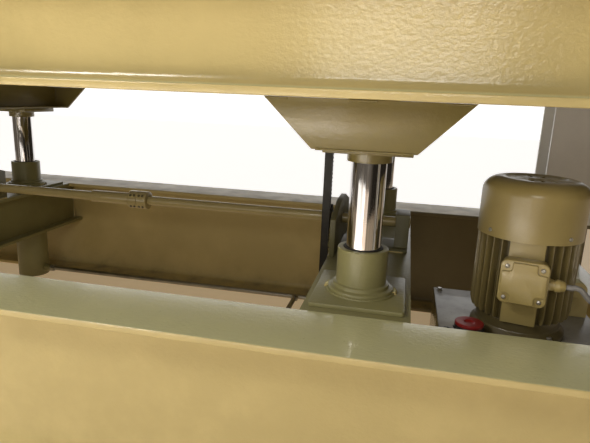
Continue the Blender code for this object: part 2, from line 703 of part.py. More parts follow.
def bearing_stands():
    """A tall plate beside the pinion, a base, and the block that holds the shaft's end."""
    peak, half_top = STAND_TOP, STAND_TOP_SPAN / 2
    face = [(-STAND_HALF_SPAN, 0), (STAND_HALF_SPAN, 0), (STAND_HALF_SPAN, STAND_SHOULDER), (half_top, peak),
            (-half_top, peak), (-STAND_HALF_SPAN, STAND_SHOULDER)]
    for name, side in (("bearing_stand_left", -1), ("bearing_stand_right", 1)):
        place = (side * RAM_X, 0, BASE_HEIGHT + SEAT_GAP)
        near, far = sorted((-side * STAND_FACE_OFFSET, -side * (STAND_FACE_OFFSET + STAND_PLATE)))
        stand = add(name, prism(face, "X", near, far), at=place)
        outer = STAND_FACE_OFFSET + STAND_PLATE / 2
        depth = STAND_BASE_DEPTH / 2
        fuse(stand, f"{name}_base", block((-outer, -depth, 0), (outer, depth, STAND_BASE)), place)
        rise = SHAFT_RISE + BLOCK_HEIGHT / 2
        start, stop = sorted((side * (STAND_FACE_OFFSET + STAND_PLATE / 2), side * (STAND_FACE_OFFSET - BLOCK_WIDTH)))
        body = block((start, -BLOCK_DEPTH / 2, STAND_BASE / 2), (stop, BLOCK_DEPTH / 2, rise))
        fuse(stand, f"{name}_block", body, place)
        wide = CROSS_WIDTH / 2 + CUT_OVERRUN
        bore = rod_shape(SHAFT_RADIUS + RUNNING_GAP, -wide, wide, SMALL_STEPS, "X")
        carve(stand, f"{name}_bore", bore, (place[0], 0, SHAFT_Z))


def oil_tank():
    front = -TANK_BACK - TANK_DEPTH
    right = TANK_X + TANK_LENGTH
    top = LID_TOP - LID_THICKNESS - SEAT_GAP
    tank = add("oil_tank", block((TANK_X, front, TANK_FLOOR), (right, -TANK_BACK, top)))
    inner_low = (TANK_X + TANK_WALL, front + TANK_WALL, TANK_FLOOR + TANK_WALL)
    inner_high = (right - TANK_WALL, -TANK_BACK - TANK_WALL, top + CUT_OVERRUN)
    carve(tank, "oil_tank_inside", block(inner_low, inner_high))
    # Skids: the front end lies on the base beam's flange, the back end stands on the floor
    rail = BASE_FLANGE + SEAT_GAP
    nose = -BEAM_INNER_Y - SKID_REACH
    skid = [(nose, rail), (-BEAM_INNER_Y + SEAT_GAP + CUT_OVERRUN, rail), (-TANK_BACK - SKID_FOOT, rail),
            (-TANK_BACK - SKID_FOOT, 0), (-TANK_BACK, 0), (-TANK_BACK, TANK_FLOOR + TANK_WALL / 2),
            (nose, TANK_FLOOR + TANK_WALL / 2)]
    for i, x in enumerate((TANK_X + SKID_WIDTH, right - 2 * SKID_WIDTH)):
        fuse(tank, f"oil_tank_skid{i}", prism(skid, "X", x, x + SKID_WIDTH))
    lid = block((TANK_X, front, LID_TOP - LID_THICKNESS), (right, -TANK_BACK, LID_TOP))
    add("tank_lid", lid, GREY_LID)


def filler(cap_carrier):
    lid = LID_TOP + SEAT_GAP
    shoulder = lid + FILLER_FLANGE_THICKNESS
    neck = [(0, lid), (FILLER_FLANGE, lid), (FILLER_FLANGE, shoulder), (FILLER_RADIUS, shoulder),
            (FILLER_RADIUS, lid + FILLER_HEIGHT), (0, lid + FILLER_HEIGHT)]
    add("filler_neck", turned(neck, SMALL_STEPS), BLACK, CAP_AXIS, smooth=True)
    seat = lid + FILLER_HEIGHT + SEAT_GAP
    grips = []
    for i in range(2 * CAP_GRIPS):
        angle = math.pi * i / CAP_GRIPS
        radius = CAP_RADIUS - (i % 2) * CAP_GRIP_DEPTH
        grips.append((radius * math.cos(angle), radius * math.sin(angle)))
    bm = prism(grips, "Z", seat, seat + CAP_HEIGHT)
    cap = add("filler_cap", bm, RED, CAP_AXIS, carrier=cap_carrier)
    crown = cap.modifiers.new("crown", "BEVEL")
    crown.width = CAP_GRIP_DEPTH
    crown.segments = 1
    crown.limit_method = "ANGLE"
    crown.angle_limit = math.radians(60)


def valve_block():
    right = TANK_X + TANK_LENGTH - VALVE_MARGIN
    left = right - VALVE_LENGTH
    middle = -TANK_BACK - VALVE_MARGIN - SOLENOID_LENGTH / 2
    low = LID_TOP + SEAT_GAP
    body = block((left, middle - VALVE_DEPTH / 2, low), (right, middle + VALVE_DEPTH / 2, low + VALVE_HEIGHT))
    valve = add("valve_block", body)
    level = low + VALVE_HEIGHT + SOLENOID_SEAT
    coil = rod_shape(SOLENOID_RADIUS, -SOLENOID_LENGTH / 2, SOLENOID_LENGTH / 2, SMALL_STEPS, "Y")
    fuse(valve, "valve_block_solenoid", coil, ((left + right) / 2, middle, level))


def motor_shield():
    low = LID_TOP + SEAT_GAP
    bell = [(0, low), (SHIELD_RADIUS, low), (SHIELD_RADIUS, low + SHIELD_FLANGE), (SHIELD_NECK, low + 2 * SHIELD_FLANGE),
            (SHIELD_NECK, low + SHIELD_HEIGHT), (0, low + SHIELD_HEIGHT)]
    add("motor_shield", turned(bell, ROUND_STEPS), at=MOTOR_AXIS, smooth=True)


def stator_outline():
    """A finned ring of points with a flat pad on -Y for the terminal box."""
    points = []
    for i in range(FIN_COUNT):
        angle = -math.pi / 2 + 2 * math.pi * (i + 1 / 2) / FIN_COUNT
        if abs(FIN_RADIUS * math.cos(angle)) < PAD_WIDTH / 2 + FIN_THICKNESS and math.sin(angle) < 0:
            continue
        for radius, side in ((STATOR_RADIUS, -1), (FIN_RADIUS, -1), (FIN_RADIUS, 1), (STATOR_RADIUS, 1)):
            spread = side * FIN_THICKNESS / (2 * radius)
            points.append((radius * math.cos(angle + spread), radius * math.sin(angle + spread)))
    half = PAD_WIDTH / 2
    foot = math.sqrt(STATOR_RADIUS ** 2 - half ** 2)
    return points + [(-half, -foot), (-half, -PAD_REACH), (half, -PAD_REACH), (half, -foot)]


def motor_stator():
    bm = prism(stator_outline(), "Z", STATOR_LEVEL, STATOR_TOP)
    stator = add("motor_stator", bm, at=MOTOR_AXIS, turn=MOTOR_TURN)
    lip = SHIELD_FLANGE
    boss = rod_shape(FAN_BOSS, STATOR_TOP - lip, STATOR_TOP + lip, SMALL_STEPS)
    fuse(stator, "motor_stator_boss", boss, MOTOR_AXIS)


def cowl_profile():
    """The cowl's outer curve and its inner one, a wall inside. The rim is open below."""
    low, high = BASE_HEIGHT + COWL_BOTTOM, BASE_HEIGHT + COWL_TOP
    outer = [(COWL_RADIUS, low), (COWL_RADIUS, high - COWL_SHOULDER)]
    reach = COWL_RADIUS - COWL_CROWN
    for i in range(1, FILLET_STEPS + 2):
        angle = math.pi / 2 * i / (FILLET_STEPS + 1)
        outer.append((COWL_CROWN + reach * math.cos(angle), high - COWL_SHOULDER + COWL_SHOULDER * math.sin(angle)))
    outer[-1] = (COWL_CROWN, high)
    inner = [(COWL_RADIUS - COWL_WALL, low), (COWL_RADIUS - COWL_WALL, high - COWL_SHOULDER)]
    for radius, height in outer[2:]:
        inner.append((radius - COWL_WALL, height - COWL_WALL))
    return [(0, high)] + outer[::-1] + inner + [(0, high - COWL_WALL)]


def fan_cowl():
    cowl = add("fan_cowl", turned(cowl_profile(), ROUND_STEPS), at=MOTOR_AXIS, turn=MOTOR_TURN, smooth=True)
    high = BASE_HEIGHT + COWL_TOP
    slots = bmesh.new()
    for i in range(COWL_SLOTS):
        slot = block((COWL_SLOT_INNER, -COWL_SLOT_WIDTH / 2, high - COWL_WALL - CUT_OVERRUN),
                     (COWL_SLOT_OUTER, COWL_SLOT_WIDTH / 2, high + CUT_OVERRUN))
        turn = Matrix.Rotation(2 * math.pi * i / COWL_SLOTS, 4, "Z")
        bmesh.ops.transform(slot, matrix=turn, verts=slot.verts)
        piece = bpy.data.meshes.new("slot")
        slot.to_mesh(piece)
        slot.free()
        slots.from_mesh(piece)
    carve(cowl, "fan_cowl_slots", slots, MOTOR_AXIS, MOTOR_TURN)
    # Four lugs inside the rim that sit on the fins
    for i in range(4):
        angle = math.pi / 4 + math.pi / 2 * i
        seat = FIN_RADIUS + SEAT_GAP
        lug = block((seat, -COWL_LUG / 2, BASE_HEIGHT + COWL_BOTTOM), (COWL_RADIUS - COWL_WALL / 2, COWL_LUG / 2,
                                                                      STATOR_TOP - SEAT_GAP))
        bmesh.ops.transform(lug, matrix=Matrix.Rotation(angle, 4, "Z"), verts=lug.verts)
        fuse(cowl, f"fan_cowl_lug{i}", lug, MOTOR_AXIS, MOTOR_TURN)


def motor_fan(carrier):
    low = STATOR_TOP + SHIELD_FLANGE + SEAT_GAP
    hub = rod_shape(FAN_HUB, low, low + FAN_HEIGHT, SMALL_STEPS)
    fan = add("motor_fan", hub, BLACK, MOTOR_AXIS, carrier=carrier, smooth=True)
    bottom, top = low + FAN_RISE / 2, low + FAN_HEIGHT - SEAT_GAP
    for i in range(FAN_BLADES):
        blade = block((FAN_HUB - CUT_OVERRUN, -FAN_BLADE / 2, bottom), (FAN_RADIUS, FAN_BLADE / 2, top))
        turn = Matrix.Rotation(2 * math.pi * i / FAN_BLADES, 4, "Z")
        bmesh.ops.transform(blade, matrix=turn, verts=blade.verts)
        fuse(fan, f"motor_fan_blade{i}", blade, MOTOR_AXIS, carrier=carrier)


def terminal_box():
    level = BASE_HEIGHT + BOX_RISE + BOX_SIZE / 2
    face = PAD_REACH + SEAT_GAP
    base = shifted(rounded(BOX_SIZE, BOX_SIZE, BOX_CORNER), 0, level)
    bm = prism(base, "Y", -face - BOX_BASE_DEPTH, -face)
    add("terminal_box", bm, at=MOTOR_AXIS, turn=MOTOR_TURN, smooth=True)
    wide = BOX_SIZE + 2 * BOX_LID_LIP
    cover = shifted(rounded(wide, wide, BOX_CORNER + BOX_LID_LIP), 0, level)
    seat = face + BOX_BASE_DEPTH + SEAT_GAP
    lid = add("terminal_lid", prism(cover, "Y", -seat - BOX_LID_DEPTH, -seat), at=MOTOR_AXIS, turn=MOTOR_TURN,
              smooth=True)
    edge = lid.modifiers.new("edge", "BEVEL")
    edge.width = BOX_LID_EDGE
    edge.segments = 2
    edge.limit_method = "ANGLE"
    edge.angle_limit = math.radians(60)


def gland_start():
    """Where the gland leaves the terminal box, and the direction it points in."""
    turn = Matrix.Rotation(MOTOR_TURN, 3, "Z")
    level = BASE_HEIGHT + BOX_RISE + BOX_SIZE / 2
    depth = PAD_REACH + SEAT_GAP + BOX_BASE_DEPTH / 2
    return MOTOR_AXIS + turn @ Vector((BOX_SIZE / 2 + SEAT_GAP, -depth, level)), turn @ Vector((1, 0, 0))


def cable_gland():
    start, _ = gland_start()
    bore = LEAD_RADIUS + SEAT_GAP
    tip = GLAND_SHORT + GLAND_TIP
    profile = [(0, 0), (GLAND_RADIUS, 0), (GLAND_RADIUS, GLAND_SHORT), (GLAND_NUT, GLAND_SHORT),
               (GLAND_NUT, (GLAND_SHORT + tip) / 2), (bore, tip), (0, tip)]
    add("cable_gland", turned(profile, SMALL_STEPS, "X"), BLACK, start, MOTOR_TURN, smooth=True)


def junction_low():
    low = BASE_HEIGHT + SEAT_GAP + END_PLATE + JUNCTION_RISE
    return Vector((UPRIGHT_X - JUNCTION_WIDTH / 2, -BEAM_INNER_Y + SEAT_GAP, low))


def junction_box():
    """On the inner face of the front right upright."""
    low = junction_low()
    outline = rounded(JUNCTION_WIDTH, JUNCTION_HEIGHT, BOX_CORNER)
    middle = (low.x + JUNCTION_WIDTH / 2, low.y, low.z + JUNCTION_HEIGHT / 2)
    box = add("junction_box", prism(outline, "Y", 0, JUNCTION_DEPTH), at=middle, smooth=True)
    edge = box.modifiers.new("edge", "BEVEL")
    edge.width = JUNCTION_EDGE
    edge.segments = 1
    edge.limit_method = "ANGLE"
    edge.angle_limit = math.radians(60)


def lead_route():
    """The lead's own points, from the gland's tip to the junction box's left face."""
    start, way = gland_start()
    start = start + way * (GLAND_SHORT + GLAND_TIP + SEAT_GAP)
    low = junction_low()
    end = Vector((low.x - SEAT_GAP, low.y + JUNCTION_DEPTH / 2, low.z + JUNCTION_HEIGHT / 2))
    return [
        start, start + way * 0.012, start + way * 0.026, start + Vector((0.075, -0.014, -0.030)),
        end + Vector((-0.070, 0.004, -0.020)), end + Vector((-0.026, 0, 0)), end + Vector((-0.012, 0, 0)), end,
    ]


def smooth_through(route, step):
    """Points along a smooth curve through the route, about a step apart."""
    ends = [2 * route[0] - route[1]] + route + [2 * route[-1] - route[-2]]
    points = [route[0]]
    for before, a, b, after in zip(ends, ends[1:], ends[2:], ends[3:]):
        count = max(1, round((b - a).length / step))
        for i in range(1, count + 1):
            t = i / count
            points.append(((2 * a) + (b - before) * t + (2 * before - 5 * a + 4 * b - after) * t ** 2
                           + (3 * a - before - 3 * b + after) * t ** 3) / 2)
    return points


def tube(name, points, radius, finish, resolution=2):
    curve = bpy.data.curves.new(name, "CURVE")
    curve.dimensions = "3D"
    curve.bevel_depth = radius
    curve.bevel_resolution = resolution
    curve.use_fill_caps = True
    spline = curve.splines.new("POLY")
    spline.points.add(len(points) - 1)
    for point, place in zip(spline.points, points):
        point.co = (*place, 1)
    curve.materials.append(material(finish))
    obj = bpy.data.objects.new(name, curve)
    bpy.context.scene.collection.objects.link(obj)


def oil_lines():
    port = RAM_X - TUBE_RADIUS - PORT_LENGTH - SEAT_GAP
    for name, y in (("oil_line_front", -RAM_Y), ("oil_line_rear", RAM_Y)):
        line = rod_shape(LINE_RADIUS, -port, port, SMALL_STEPS, "X")
        add(name, line, at=(0, y, LINE_LEVEL), smooth=True)
    reach = RAM_Y - LINE_RADIUS - SEAT_GAP
    manifold = rod_shape(LINE_RADIUS, -reach, reach, SMALL_STEPS, "Y")
    tee = add("oil_line_manifold", manifold, at=(MANIFOLD_X, 0, LINE_LEVEL), smooth=True)
    # The branch from the tank is welded into the manifold line
    feed = rod_shape(LINE_RADIUS - SEAT_GAP, MANIFOLD_X, TANK_X - SEAT_GAP, SMALL_STEPS, "X")
    fuse(tee, "oil_line_feed", feed, (0, FEED_Y, LINE_LEVEL))


def build_frame():
    base_beams()
    cross_beams()
    end_ties()
    uprights()
    top_beams()
    ribbed_platen("upper_platen", UPPER_PLATEN_LEVEL, 1)
    cylinders()
    seals()
    bearing_stands()
    oil_lines()


def build_platen():
    carrier = add_carrier("platen_carrier", (0, 0, 0))
    rods(carrier)
    rod_heads(carrier)
    lift_beams(carrier)
    moving_beams(carrier)
    ribbed_platen("lower_platen", LOWER_PLATEN_LEVEL, -1, carrier)
    levelling_racks(carrier)


def build_shaft():
    carrier = add_carrier("shaft_carrier", (0, 0, SHAFT_Z))
    torsion_shaft(carrier)
    pinions(carrier)


def build_power_unit():
    oil_tank()
    filler(add_carrier("cap_carrier", CAP_AXIS))
    valve_block()
    motor_shield()
    motor_stator()
    fan_cowl()
    motor_fan(add_carrier("fan_carrier", MOTOR_AXIS))
    terminal_box()
    cable_gland()
    junction_box()
    tube("motor_lead", smooth_through(lead_route(), LEAD_STEP), LEAD_RADIUS, LEAD_GREY)


def main():
    clear_scene()
    build_frame()
    build_platen()
    build_shaft()
    build_power_unit()


main()
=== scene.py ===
"""Looks of a panel press with a beam frame, four upstroke rams and a motor on an oil tank.

Metres, +Z up, X along the press, the working side at -Y, as in the packed model.
"""
import math

import bmesh
import bpy
from bpy.props import FloatProperty, FloatVectorProperty, IntProperty, PointerProperty
from mathutils import Matrix, Vector


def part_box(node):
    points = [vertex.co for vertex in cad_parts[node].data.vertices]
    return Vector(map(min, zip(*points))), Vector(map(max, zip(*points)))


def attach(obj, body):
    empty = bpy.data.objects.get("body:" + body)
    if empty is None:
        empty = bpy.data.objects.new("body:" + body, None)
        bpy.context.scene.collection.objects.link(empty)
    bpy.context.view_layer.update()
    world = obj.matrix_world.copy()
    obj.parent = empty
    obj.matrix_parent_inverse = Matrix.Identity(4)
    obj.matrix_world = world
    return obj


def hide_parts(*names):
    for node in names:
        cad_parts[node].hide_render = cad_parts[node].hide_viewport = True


bl_info = {
    "name": "Panel press looks",
    "version": (1, 0, 0),
    "blender": (4, 5, 0),
    "location": "View3D > Sidebar > Press",
    "description": "Dresses the packed model of a panel press with its finishes and small parts",
    "category": "Object",
}

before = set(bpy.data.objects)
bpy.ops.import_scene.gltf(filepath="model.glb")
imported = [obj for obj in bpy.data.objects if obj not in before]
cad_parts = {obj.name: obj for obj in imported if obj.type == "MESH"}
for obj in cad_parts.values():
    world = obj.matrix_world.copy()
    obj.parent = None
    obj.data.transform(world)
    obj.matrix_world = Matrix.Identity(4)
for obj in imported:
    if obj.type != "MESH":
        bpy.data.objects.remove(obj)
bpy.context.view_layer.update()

ROWS = ("front", "rear")
SIDES = ("left", "right")
CORNERS = [(f"{row}_{side}", x, y) for row, y in zip(ROWS, (-1, 1)) for side, x in zip(SIDES, (-1, 1))]
QUARTER = math.pi / 2
FULL = 2 * math.pi
UPWARD = (0, 0, 1)

# Places of the rams, the shaft and the power unit in the packed model
RAM_X, RAM_Y = 0.815, 0.445
BASE_TOP = 0.450
BEAM_Y, BEAM_HALF = 0.679, 0.095
PLATE_HALF = 0.118
LINE_Z = 0.060
SHAFT_Z = 0.531
LID_TOP = 0.372
MOTOR_AXIS = Vector((1.195, -0.349, 0))
MOTOR_TURN = math.radians(-12)
MOTOR_SPIN = Matrix.Rotation(MOTOR_TURN, 3, "Z")
TERMINAL_Z = 0.532
GLAND_PLACE = (0.0463, 0.1233, TERMINAL_Z)
CAP_AXIS = Vector((1.072, -0.449, 0))

# Gap between pieces that touch, growth of the stands' bores, and the least radius of a ring
SEAT = 0.0003
BORE_EASE = 1.05
POLE = 1e-7
# Radians from one copied head to the next, and the depth of the motor's and lift beams' orange peel
UNEVEN_SPIN = 0.7
FINE_PEEL = 0.00035
# The photo's camera and half the floor's side
CAMERA_PLACE = (0.8926, -1.6275, 0.9034)
FLOOR_HALF = 14.0


def number(label, text, value, **limits):
    return FloatProperty(name=label, description=text, default=value, **limits)


def length(label, text, value):
    return number(label, text, value, min=0, unit="LENGTH", precision=4)


def number_of(label, text, value, least):
    return IntProperty(name=label, description=text, default=value, min=least)


def colour(label, text, value):
    return FloatVectorProperty(name=label, description=text, default=value, size=3, min=0, max=1,
                               subtype="COLOR")


class PressSizes(bpy.types.PropertyGroup):
    rod_radius: length("Rod radius", "Radius of each chromed rod", 0.0400)
    neck_radius: length("Neck radius", "Radius of the cylinder's neck above its collar", 0.0595)
    collar_radius: length("Collar radius", "Radius of the collar at the mount plate", 0.0776)
    tube_radius: length("Tube radius", "Radius of the cylinder below the cross beam", 0.0665)
    toe_radius: length("Beam toe radius", "Rounding of a rolled beam's flange edges", 0.0030)
    plate_edge: length("Plate edge", "Rounding of a cut plate's edges under its paint", 0.0012)
    bead_radius: length("Weld bead radius", "Radius of a fillet weld's bead", 0.0034)
    bead_pitch: length("Weld ripple pitch", "Distance between the ripples of a weld bead", 0.0042)
    bead_step: length("Weld step", "Distance between the points along a weld bead", 0.0014)
    screw_radius: length("Screw head radius", "Radius of a small screw's head", 0.0048)
    round_steps: number_of("Round steps", "Faces round a turned piece", 96, 24)
    fin_count: number_of("Fins", "Cooling fins round the motor", 32, 8)
    blade_count: number_of("Fan blades", "Blades on the motor's fan", 7, 3)
    cowl_slots: number_of("Cowl slots", "Slots in the fan cowl's crown", 10, 4)


class PressColours(bpy.types.PropertyGroup):
    enamel: colour("Enamel", "Green beige gloss paint of the frame", (0.556, 0.456, 0.208))
    enamel_shade: colour("Enamel shade", "Darker drift of the frame's paint", (0.470, 0.385, 0.170))
    # The lift paint is a darker copy of the enamel: painted shade on the lift beams and rod heads
    lift: colour("Lift paint", "Shaded paint of the lift beams and rod heads", (0.205, 0.168, 0.056))
    motor: colour("Motor paint", "Satin paint of the motor", (0.345, 0.272, 0.100))
    # Painted light: the level faces' lighter, greener colour stands in for light falling on them
    sheen: colour("Level tint", "Greener tone of the frame's level faces", (0.640, 0.650, 0.380))
    # The ram paint is a darker copy of the enamel: painted shade on the cylinders, cross beams and bearing
    # stands
    ram: colour("Ram paint", "Darker paint of the cylinders and cross beams", (0.255, 0.240, 0.104))
    dust: colour("Dust", "Grey dust on level faces", (0.270, 0.250, 0.215))
    # Grime is real oily dirt in specks and streaks, and also the colour of the painted shade beside the tank
    grime: colour("Grime", "Oily dirt in corners and specks", (0.030, 0.026, 0.018))
    post: colour("Post paint", "Grey paint of the uprights", (0.780, 0.770, 0.740))
    chrome: colour("Chrome", "Hard chrome of the rods", (0.670, 0.660, 0.670))
    steel: colour("Bare steel", "Machined and zinc-plated steel", (0.500, 0.490, 0.470))
    gear: colour("Gear steel", "Oiled dark steel of racks and pinions", (0.014, 0.013, 0.011))
    lid: colour("Tank lid", "Grey plate over the oil tank", (0.320, 0.310, 0.285))
    cap: colour("Filler cap", "Red plastic", (0.230, 0.012, 0.012))
    black: colour("Black plastic", "Glands, fan and filler neck", (0.018, 0.018, 0.018))
    lead: colour("Motor lead", "Grey sheath of the motor's lead", (0.200, 0.195, 0.190))
    floor: colour("Floor", "Plain pale floor", (0.820, 0.780, 0.740))
    light: colour("Light", "Warm white of the studio lamps", (1.000, 0.950, 0.870))


class PressStage(bpy.types.PropertyGroup):
    lens: number("Lens", "Focal length on a 36 mm sensor, in millimetres", 31.59)
    yaw: number("Yaw", "Turn of the view to the left", math.radians(11.668), subtype="ANGLE")
    pitch: number("Pitch", "Tilt of the view downwards", math.radians(13.546), subtype="ANGLE")
    roll: number("Roll", "Turn of the picture about the view", math.radians(2.354), subtype="ANGLE")
    key_power: number("Key lamp", "Power of the main lamp", 46.0, unit="POWER")
    fill_power: number("Fill lamp", "Power of the fill lamp", 16.0, unit="POWER")
    floor_power: number("Floor lamp", "Power of the lamp over the floor in front", 110.0, unit="POWER")
    low_power: number("Low lamp", "Power of the card low at the front left", 8.0, unit="POWER")
    sky: number("Surround", "Strength of the pale surround", 1.0, min=0)


def sizes():
    return bpy.context.scene.press_sizes


def colours():
    return bpy.context.scene.press_colours


def panel_colour(key, part=1.0):
    """One of the panel's colours, darkened to a part of itself."""
    return tuple(c * part for c in getattr(colours(), key))


# Shader and geometry trees

def math_node(operation, swapped=False):
    """An operator of Value that adds one Math node."""
    def work(self, other):
        first, second = (other, self) if swapped else (self, other)
        return self.graph.node("ShaderNodeMath", {"operation": operation}, {0: first, 1: second})
    return work


class Value:
    """A node's output that takes part in sums."""

    def __init__(self, graph, socket):
        self.graph, self.socket = graph, socket

    __add__ = __radd__ = math_node("ADD")
    __mul__ = __rmul__ = math_node("MULTIPLY")
    __sub__, __rsub__ = math_node("SUBTRACT"), math_node("SUBTRACT", True)
    __truediv__ = math_node("DIVIDE")


class Graph:
    """A node tree that is written as expressions."""

    def __init__(self, tree):
        self.tree = tree

    def node(self, kind, settings=None, sockets=None, output=0):
        made = self.tree.nodes.new(kind)
        for key, setting in (settings or {}).items():
            setattr(made, key, setting)
        for key, given in (sockets or {}).items():
            if isinstance(given, Value):
                self.tree.links.new(given.socket, made.inputs[key])
            else:
                made.inputs[key].default_value = given
        return Value(self, made.outputs[output])

    def part(self, vector, axis):
        return self.node("ShaderNodeSeparateXYZ", {}, {"Vector": vector}, axis)

    def between(self, value, low, high):
        """Zero below low, one above high, and smooth between them."""
        return self.node("ShaderNodeMapRange", {"interpolation_type": "SMOOTHSTEP", "clamp": True},
                         {"Value": value, "From Min": low, "From Max": high})

    def blend(self, share, first, second):
        """A colour from first, where share is 0, to second, where it is 1."""
        full = {6: first, 7: second}
        full = {key: given if isinstance(given, Value) else (*given, 1) for key, given in full.items()}
        return self.node("ShaderNodeMix", {"data_type": "RGBA"}, {0: share, **full}, 2)

    def bump(self, height, distance):
        return self.node("ShaderNodeBump", {}, {"Height": height, "Distance": distance})


class Finish(Graph):
    """A material's tree, with its place on the piece and its shader at hand."""

    def __init__(self, name):
        self.material = bpy.data.materials.new(name)
        self.material.use_nodes = True
        super().__init__(self.material.node_tree)
        self.shader = self.tree.nodes["Principled BSDF"]
        self.place = self.node("ShaderNodeTexCoord", output="Object")

    def noise(self, scale, detail=2.0, roughness=0.5, stretch=None):
        """Noise over the piece, with its place first scaled along X, Y and Z by a stretch."""
        place = self.place
        if stretch:
            place = self.node("ShaderNodeMapping", {}, {"Vector": place, "Scale": stretch})
        return self.node("ShaderNodeTexNoise", {}, {
            "Vector": place, "Scale": scale, "Detail": detail, "Roughness": roughness})

    def facing(self, axis):
        return self.part(self.node("ShaderNodeNewGeometry", output="Normal"), axis)

    def along(self, axis):
        return self.part(self.place, axis)

    def set(self, **given):
        for key, value in given.items():
            socket = self.shader.inputs[key.replace("_", " ").title()]
            if isinstance(value, Value):
                self.tree.links.new(value.socket, socket)
            else:
                socket.default_value = value
        return self.material


def enamel(name, main, shade, peel=0.00075, gloss=0.15, dusty=0.5, specks=0.5, sheen=None, coat=0.35,
           oil=0.0):
    """Thick brushed and sprayed gloss paint with orange peel, dust on level faces, oily specks
    and, where oil is given, an oily film on the forward faces beside the tank."""
    f = Finish(name)
    tone = colours()
    broad = f.noise(1.7, 3.0)
    cloud = f.noise(11.0, 4.0, 0.6)
    body = f.blend(f.between(broad * 0.7 + cloud * 0.3, 0.38, 0.64), main, shade)
    level = f.between(f.facing("Z"), 0.70, 0.97)
    # Painted light: level faces turn lighter and greener, as light falls on them
    if sheen:
        body = f.blend(level * 0.85, body, sheen)
    settled = level * f.between(cloud, 0.30, 0.75) * dusty
    body = f.blend(settled, body, tone.dust)
    dot = f.noise(95.0, 2.0)
    streaks = f.noise(1.0, 3.0, 0.6, stretch=(6.0, 60.0, 60.0))
    dirt = (f.between(dot, 0.70, 0.76) * (0.25 + level * 0.75) * specks
            + f.between(streaks, 0.66, 0.80) * level * specks * 0.6)
    low = 1 - f.between(f.along("Z"), 0.0, 0.16)
    dirt = dirt + low * f.between(cloud, 0.40, 0.80) * 0.35
    body = f.blend(f.between(dirt, 0.0, 1.0), body, tone.grime)
    # Painted shade: forward faces at the tank's end darken to grime, standing in for the shade of the tank
    # and motor
    if oil:
        tank_shade_side = f.between(0 - f.facing("Y"), 0.3, 0.8)
        body = f.blend(f.between(f.along("X"), 0.72, 0.98) * tank_shade_side * oil, body, tone.grime)
    waves = f.noise(120.0, 2.0, 0.55, stretch=(0.75, 1.0, 1.0))
    grain = f.noise(430.0, 1.0)
    normal = f.bump(waves + grain * 0.22, peel)
    rough = gloss + settled * 0.25 + cloud * 0.08
    return f.set(base_color=body, roughness=rough, normal=normal, coat_weight=coat, coat_roughness=0.10)


def hard_chrome(name):
    f = Finish(name)
    film = f.noise(1.0, 3.0, 0.6, stretch=(140.0, 140.0, 2.5))
    rings = f.noise(1.0, 1.0, stretch=(4.0, 4.0, 900.0))
    body = f.blend(f.between(film, 0.45, 0.75), colours().chrome, (0.46, 0.42, 0.38))
    return f.set(base_color=body, metallic=1.0, roughness=0.06 + f.between(film, 0.4, 0.8) * 0.10,
                 normal=f.bump(rings + film * 0.5, 0.00001))


def bare_steel(name, tint, lay, rough=0.34):
    """Machined steel whose tool marks run along the axis with the smallest lay."""
    f = Finish(name)
    marks = f.noise(1.0, 2.0, 0.6, stretch=tuple(700.0 * part for part in lay))
    stain = f.noise(9.0, 4.0, 0.6)
    body = f.blend(f.between(stain, 0.42, 0.72), tint, tuple(c * 0.62 for c in tint))
    return f.set(base_color=body, metallic=1.0, roughness=rough + marks * 0.10 + stain * 0.08,
                 normal=f.bump(marks, 0.00003))


def oiled_steel(name):
    f = Finish(name)
    film = f.noise(24.0, 4.0, 0.65)
    fine = f.noise(420.0, 2.0)
    body = f.blend(f.between(film, 0.45, 0.80), colours().gear, (0.035, 0.029, 0.020))
    return f.set(base_color=body, metallic=0.2, roughness=0.38 + film * 0.25, normal=f.bump(fine, 0.00004))


def lid_paint(name):
    """Grey lilac plate, hazy with oil and dust."""
    f = Finish(name)
    cloud = f.noise(16.0, 4.0, 0.6)
    dot = f.noise(150.0, 2.0)
    body = f.blend(f.between(cloud, 0.35, 0.75), panel_colour("lid"), panel_colour("lid", 0.72))
    body = f.blend(f.between(dot, 0.70, 0.74) * 0.8, body, colours().grime)
    return f.set(base_color=body, roughness=0.30 + cloud * 0.25, coat_weight=0.15,
                 normal=f.bump(f.noise(200.0), 0.0002))


def moulded(name, tint, rough=0.42, grain=500.0, wear=0.25):
    """Moulded plastic or rubber with a fine grain and paler, dustier patches."""
    f = Finish(name)
    cloud = f.noise(38.0, 3.0, 0.6)
    fine = f.noise(grain, 2.0)
    worn = tuple(c + (0.30 - c) * 0.25 for c in tint)
    body = f.blend(f.between(cloud, 0.50, 0.85) * wear, tint, worn)
    return f.set(base_color=body, roughness=rough + cloud * 0.12, normal=f.bump(fine, 0.00006))


def stage_floor(name):
    """The plain pale floor: bright behind the press, and faintly warm under it and in front."""
    f = Finish(name)
    cloud = f.noise(0.8, 3.0)
    depth = f.along("Y")
    # Painted light and shade on the floor: it glows where it should look lit and stays dim far to the right
    painted_light_share = f.between(depth, 0.9, 1.7) * (1 - f.between(f.along("X") - depth * 0.30, 1.28, 1.40))
    body = f.blend(cloud, panel_colour("floor"), panel_colour("floor", 0.94))
    painted_floor_light = f.blend(painted_light_share, (0.26, 0.190, 0.110), (0.85, 0.84, 0.82))
    return f.set(base_color=body, roughness=0.75, emission_color=painted_floor_light, emission_strength=1.0)


def painted(key, parts, **looks):
    """A maker of enamel in two depths of one of the panel's colours."""
    return lambda name: enamel(name, panel_colour(key, parts[0]), panel_colour(key, parts[1]), **looks)


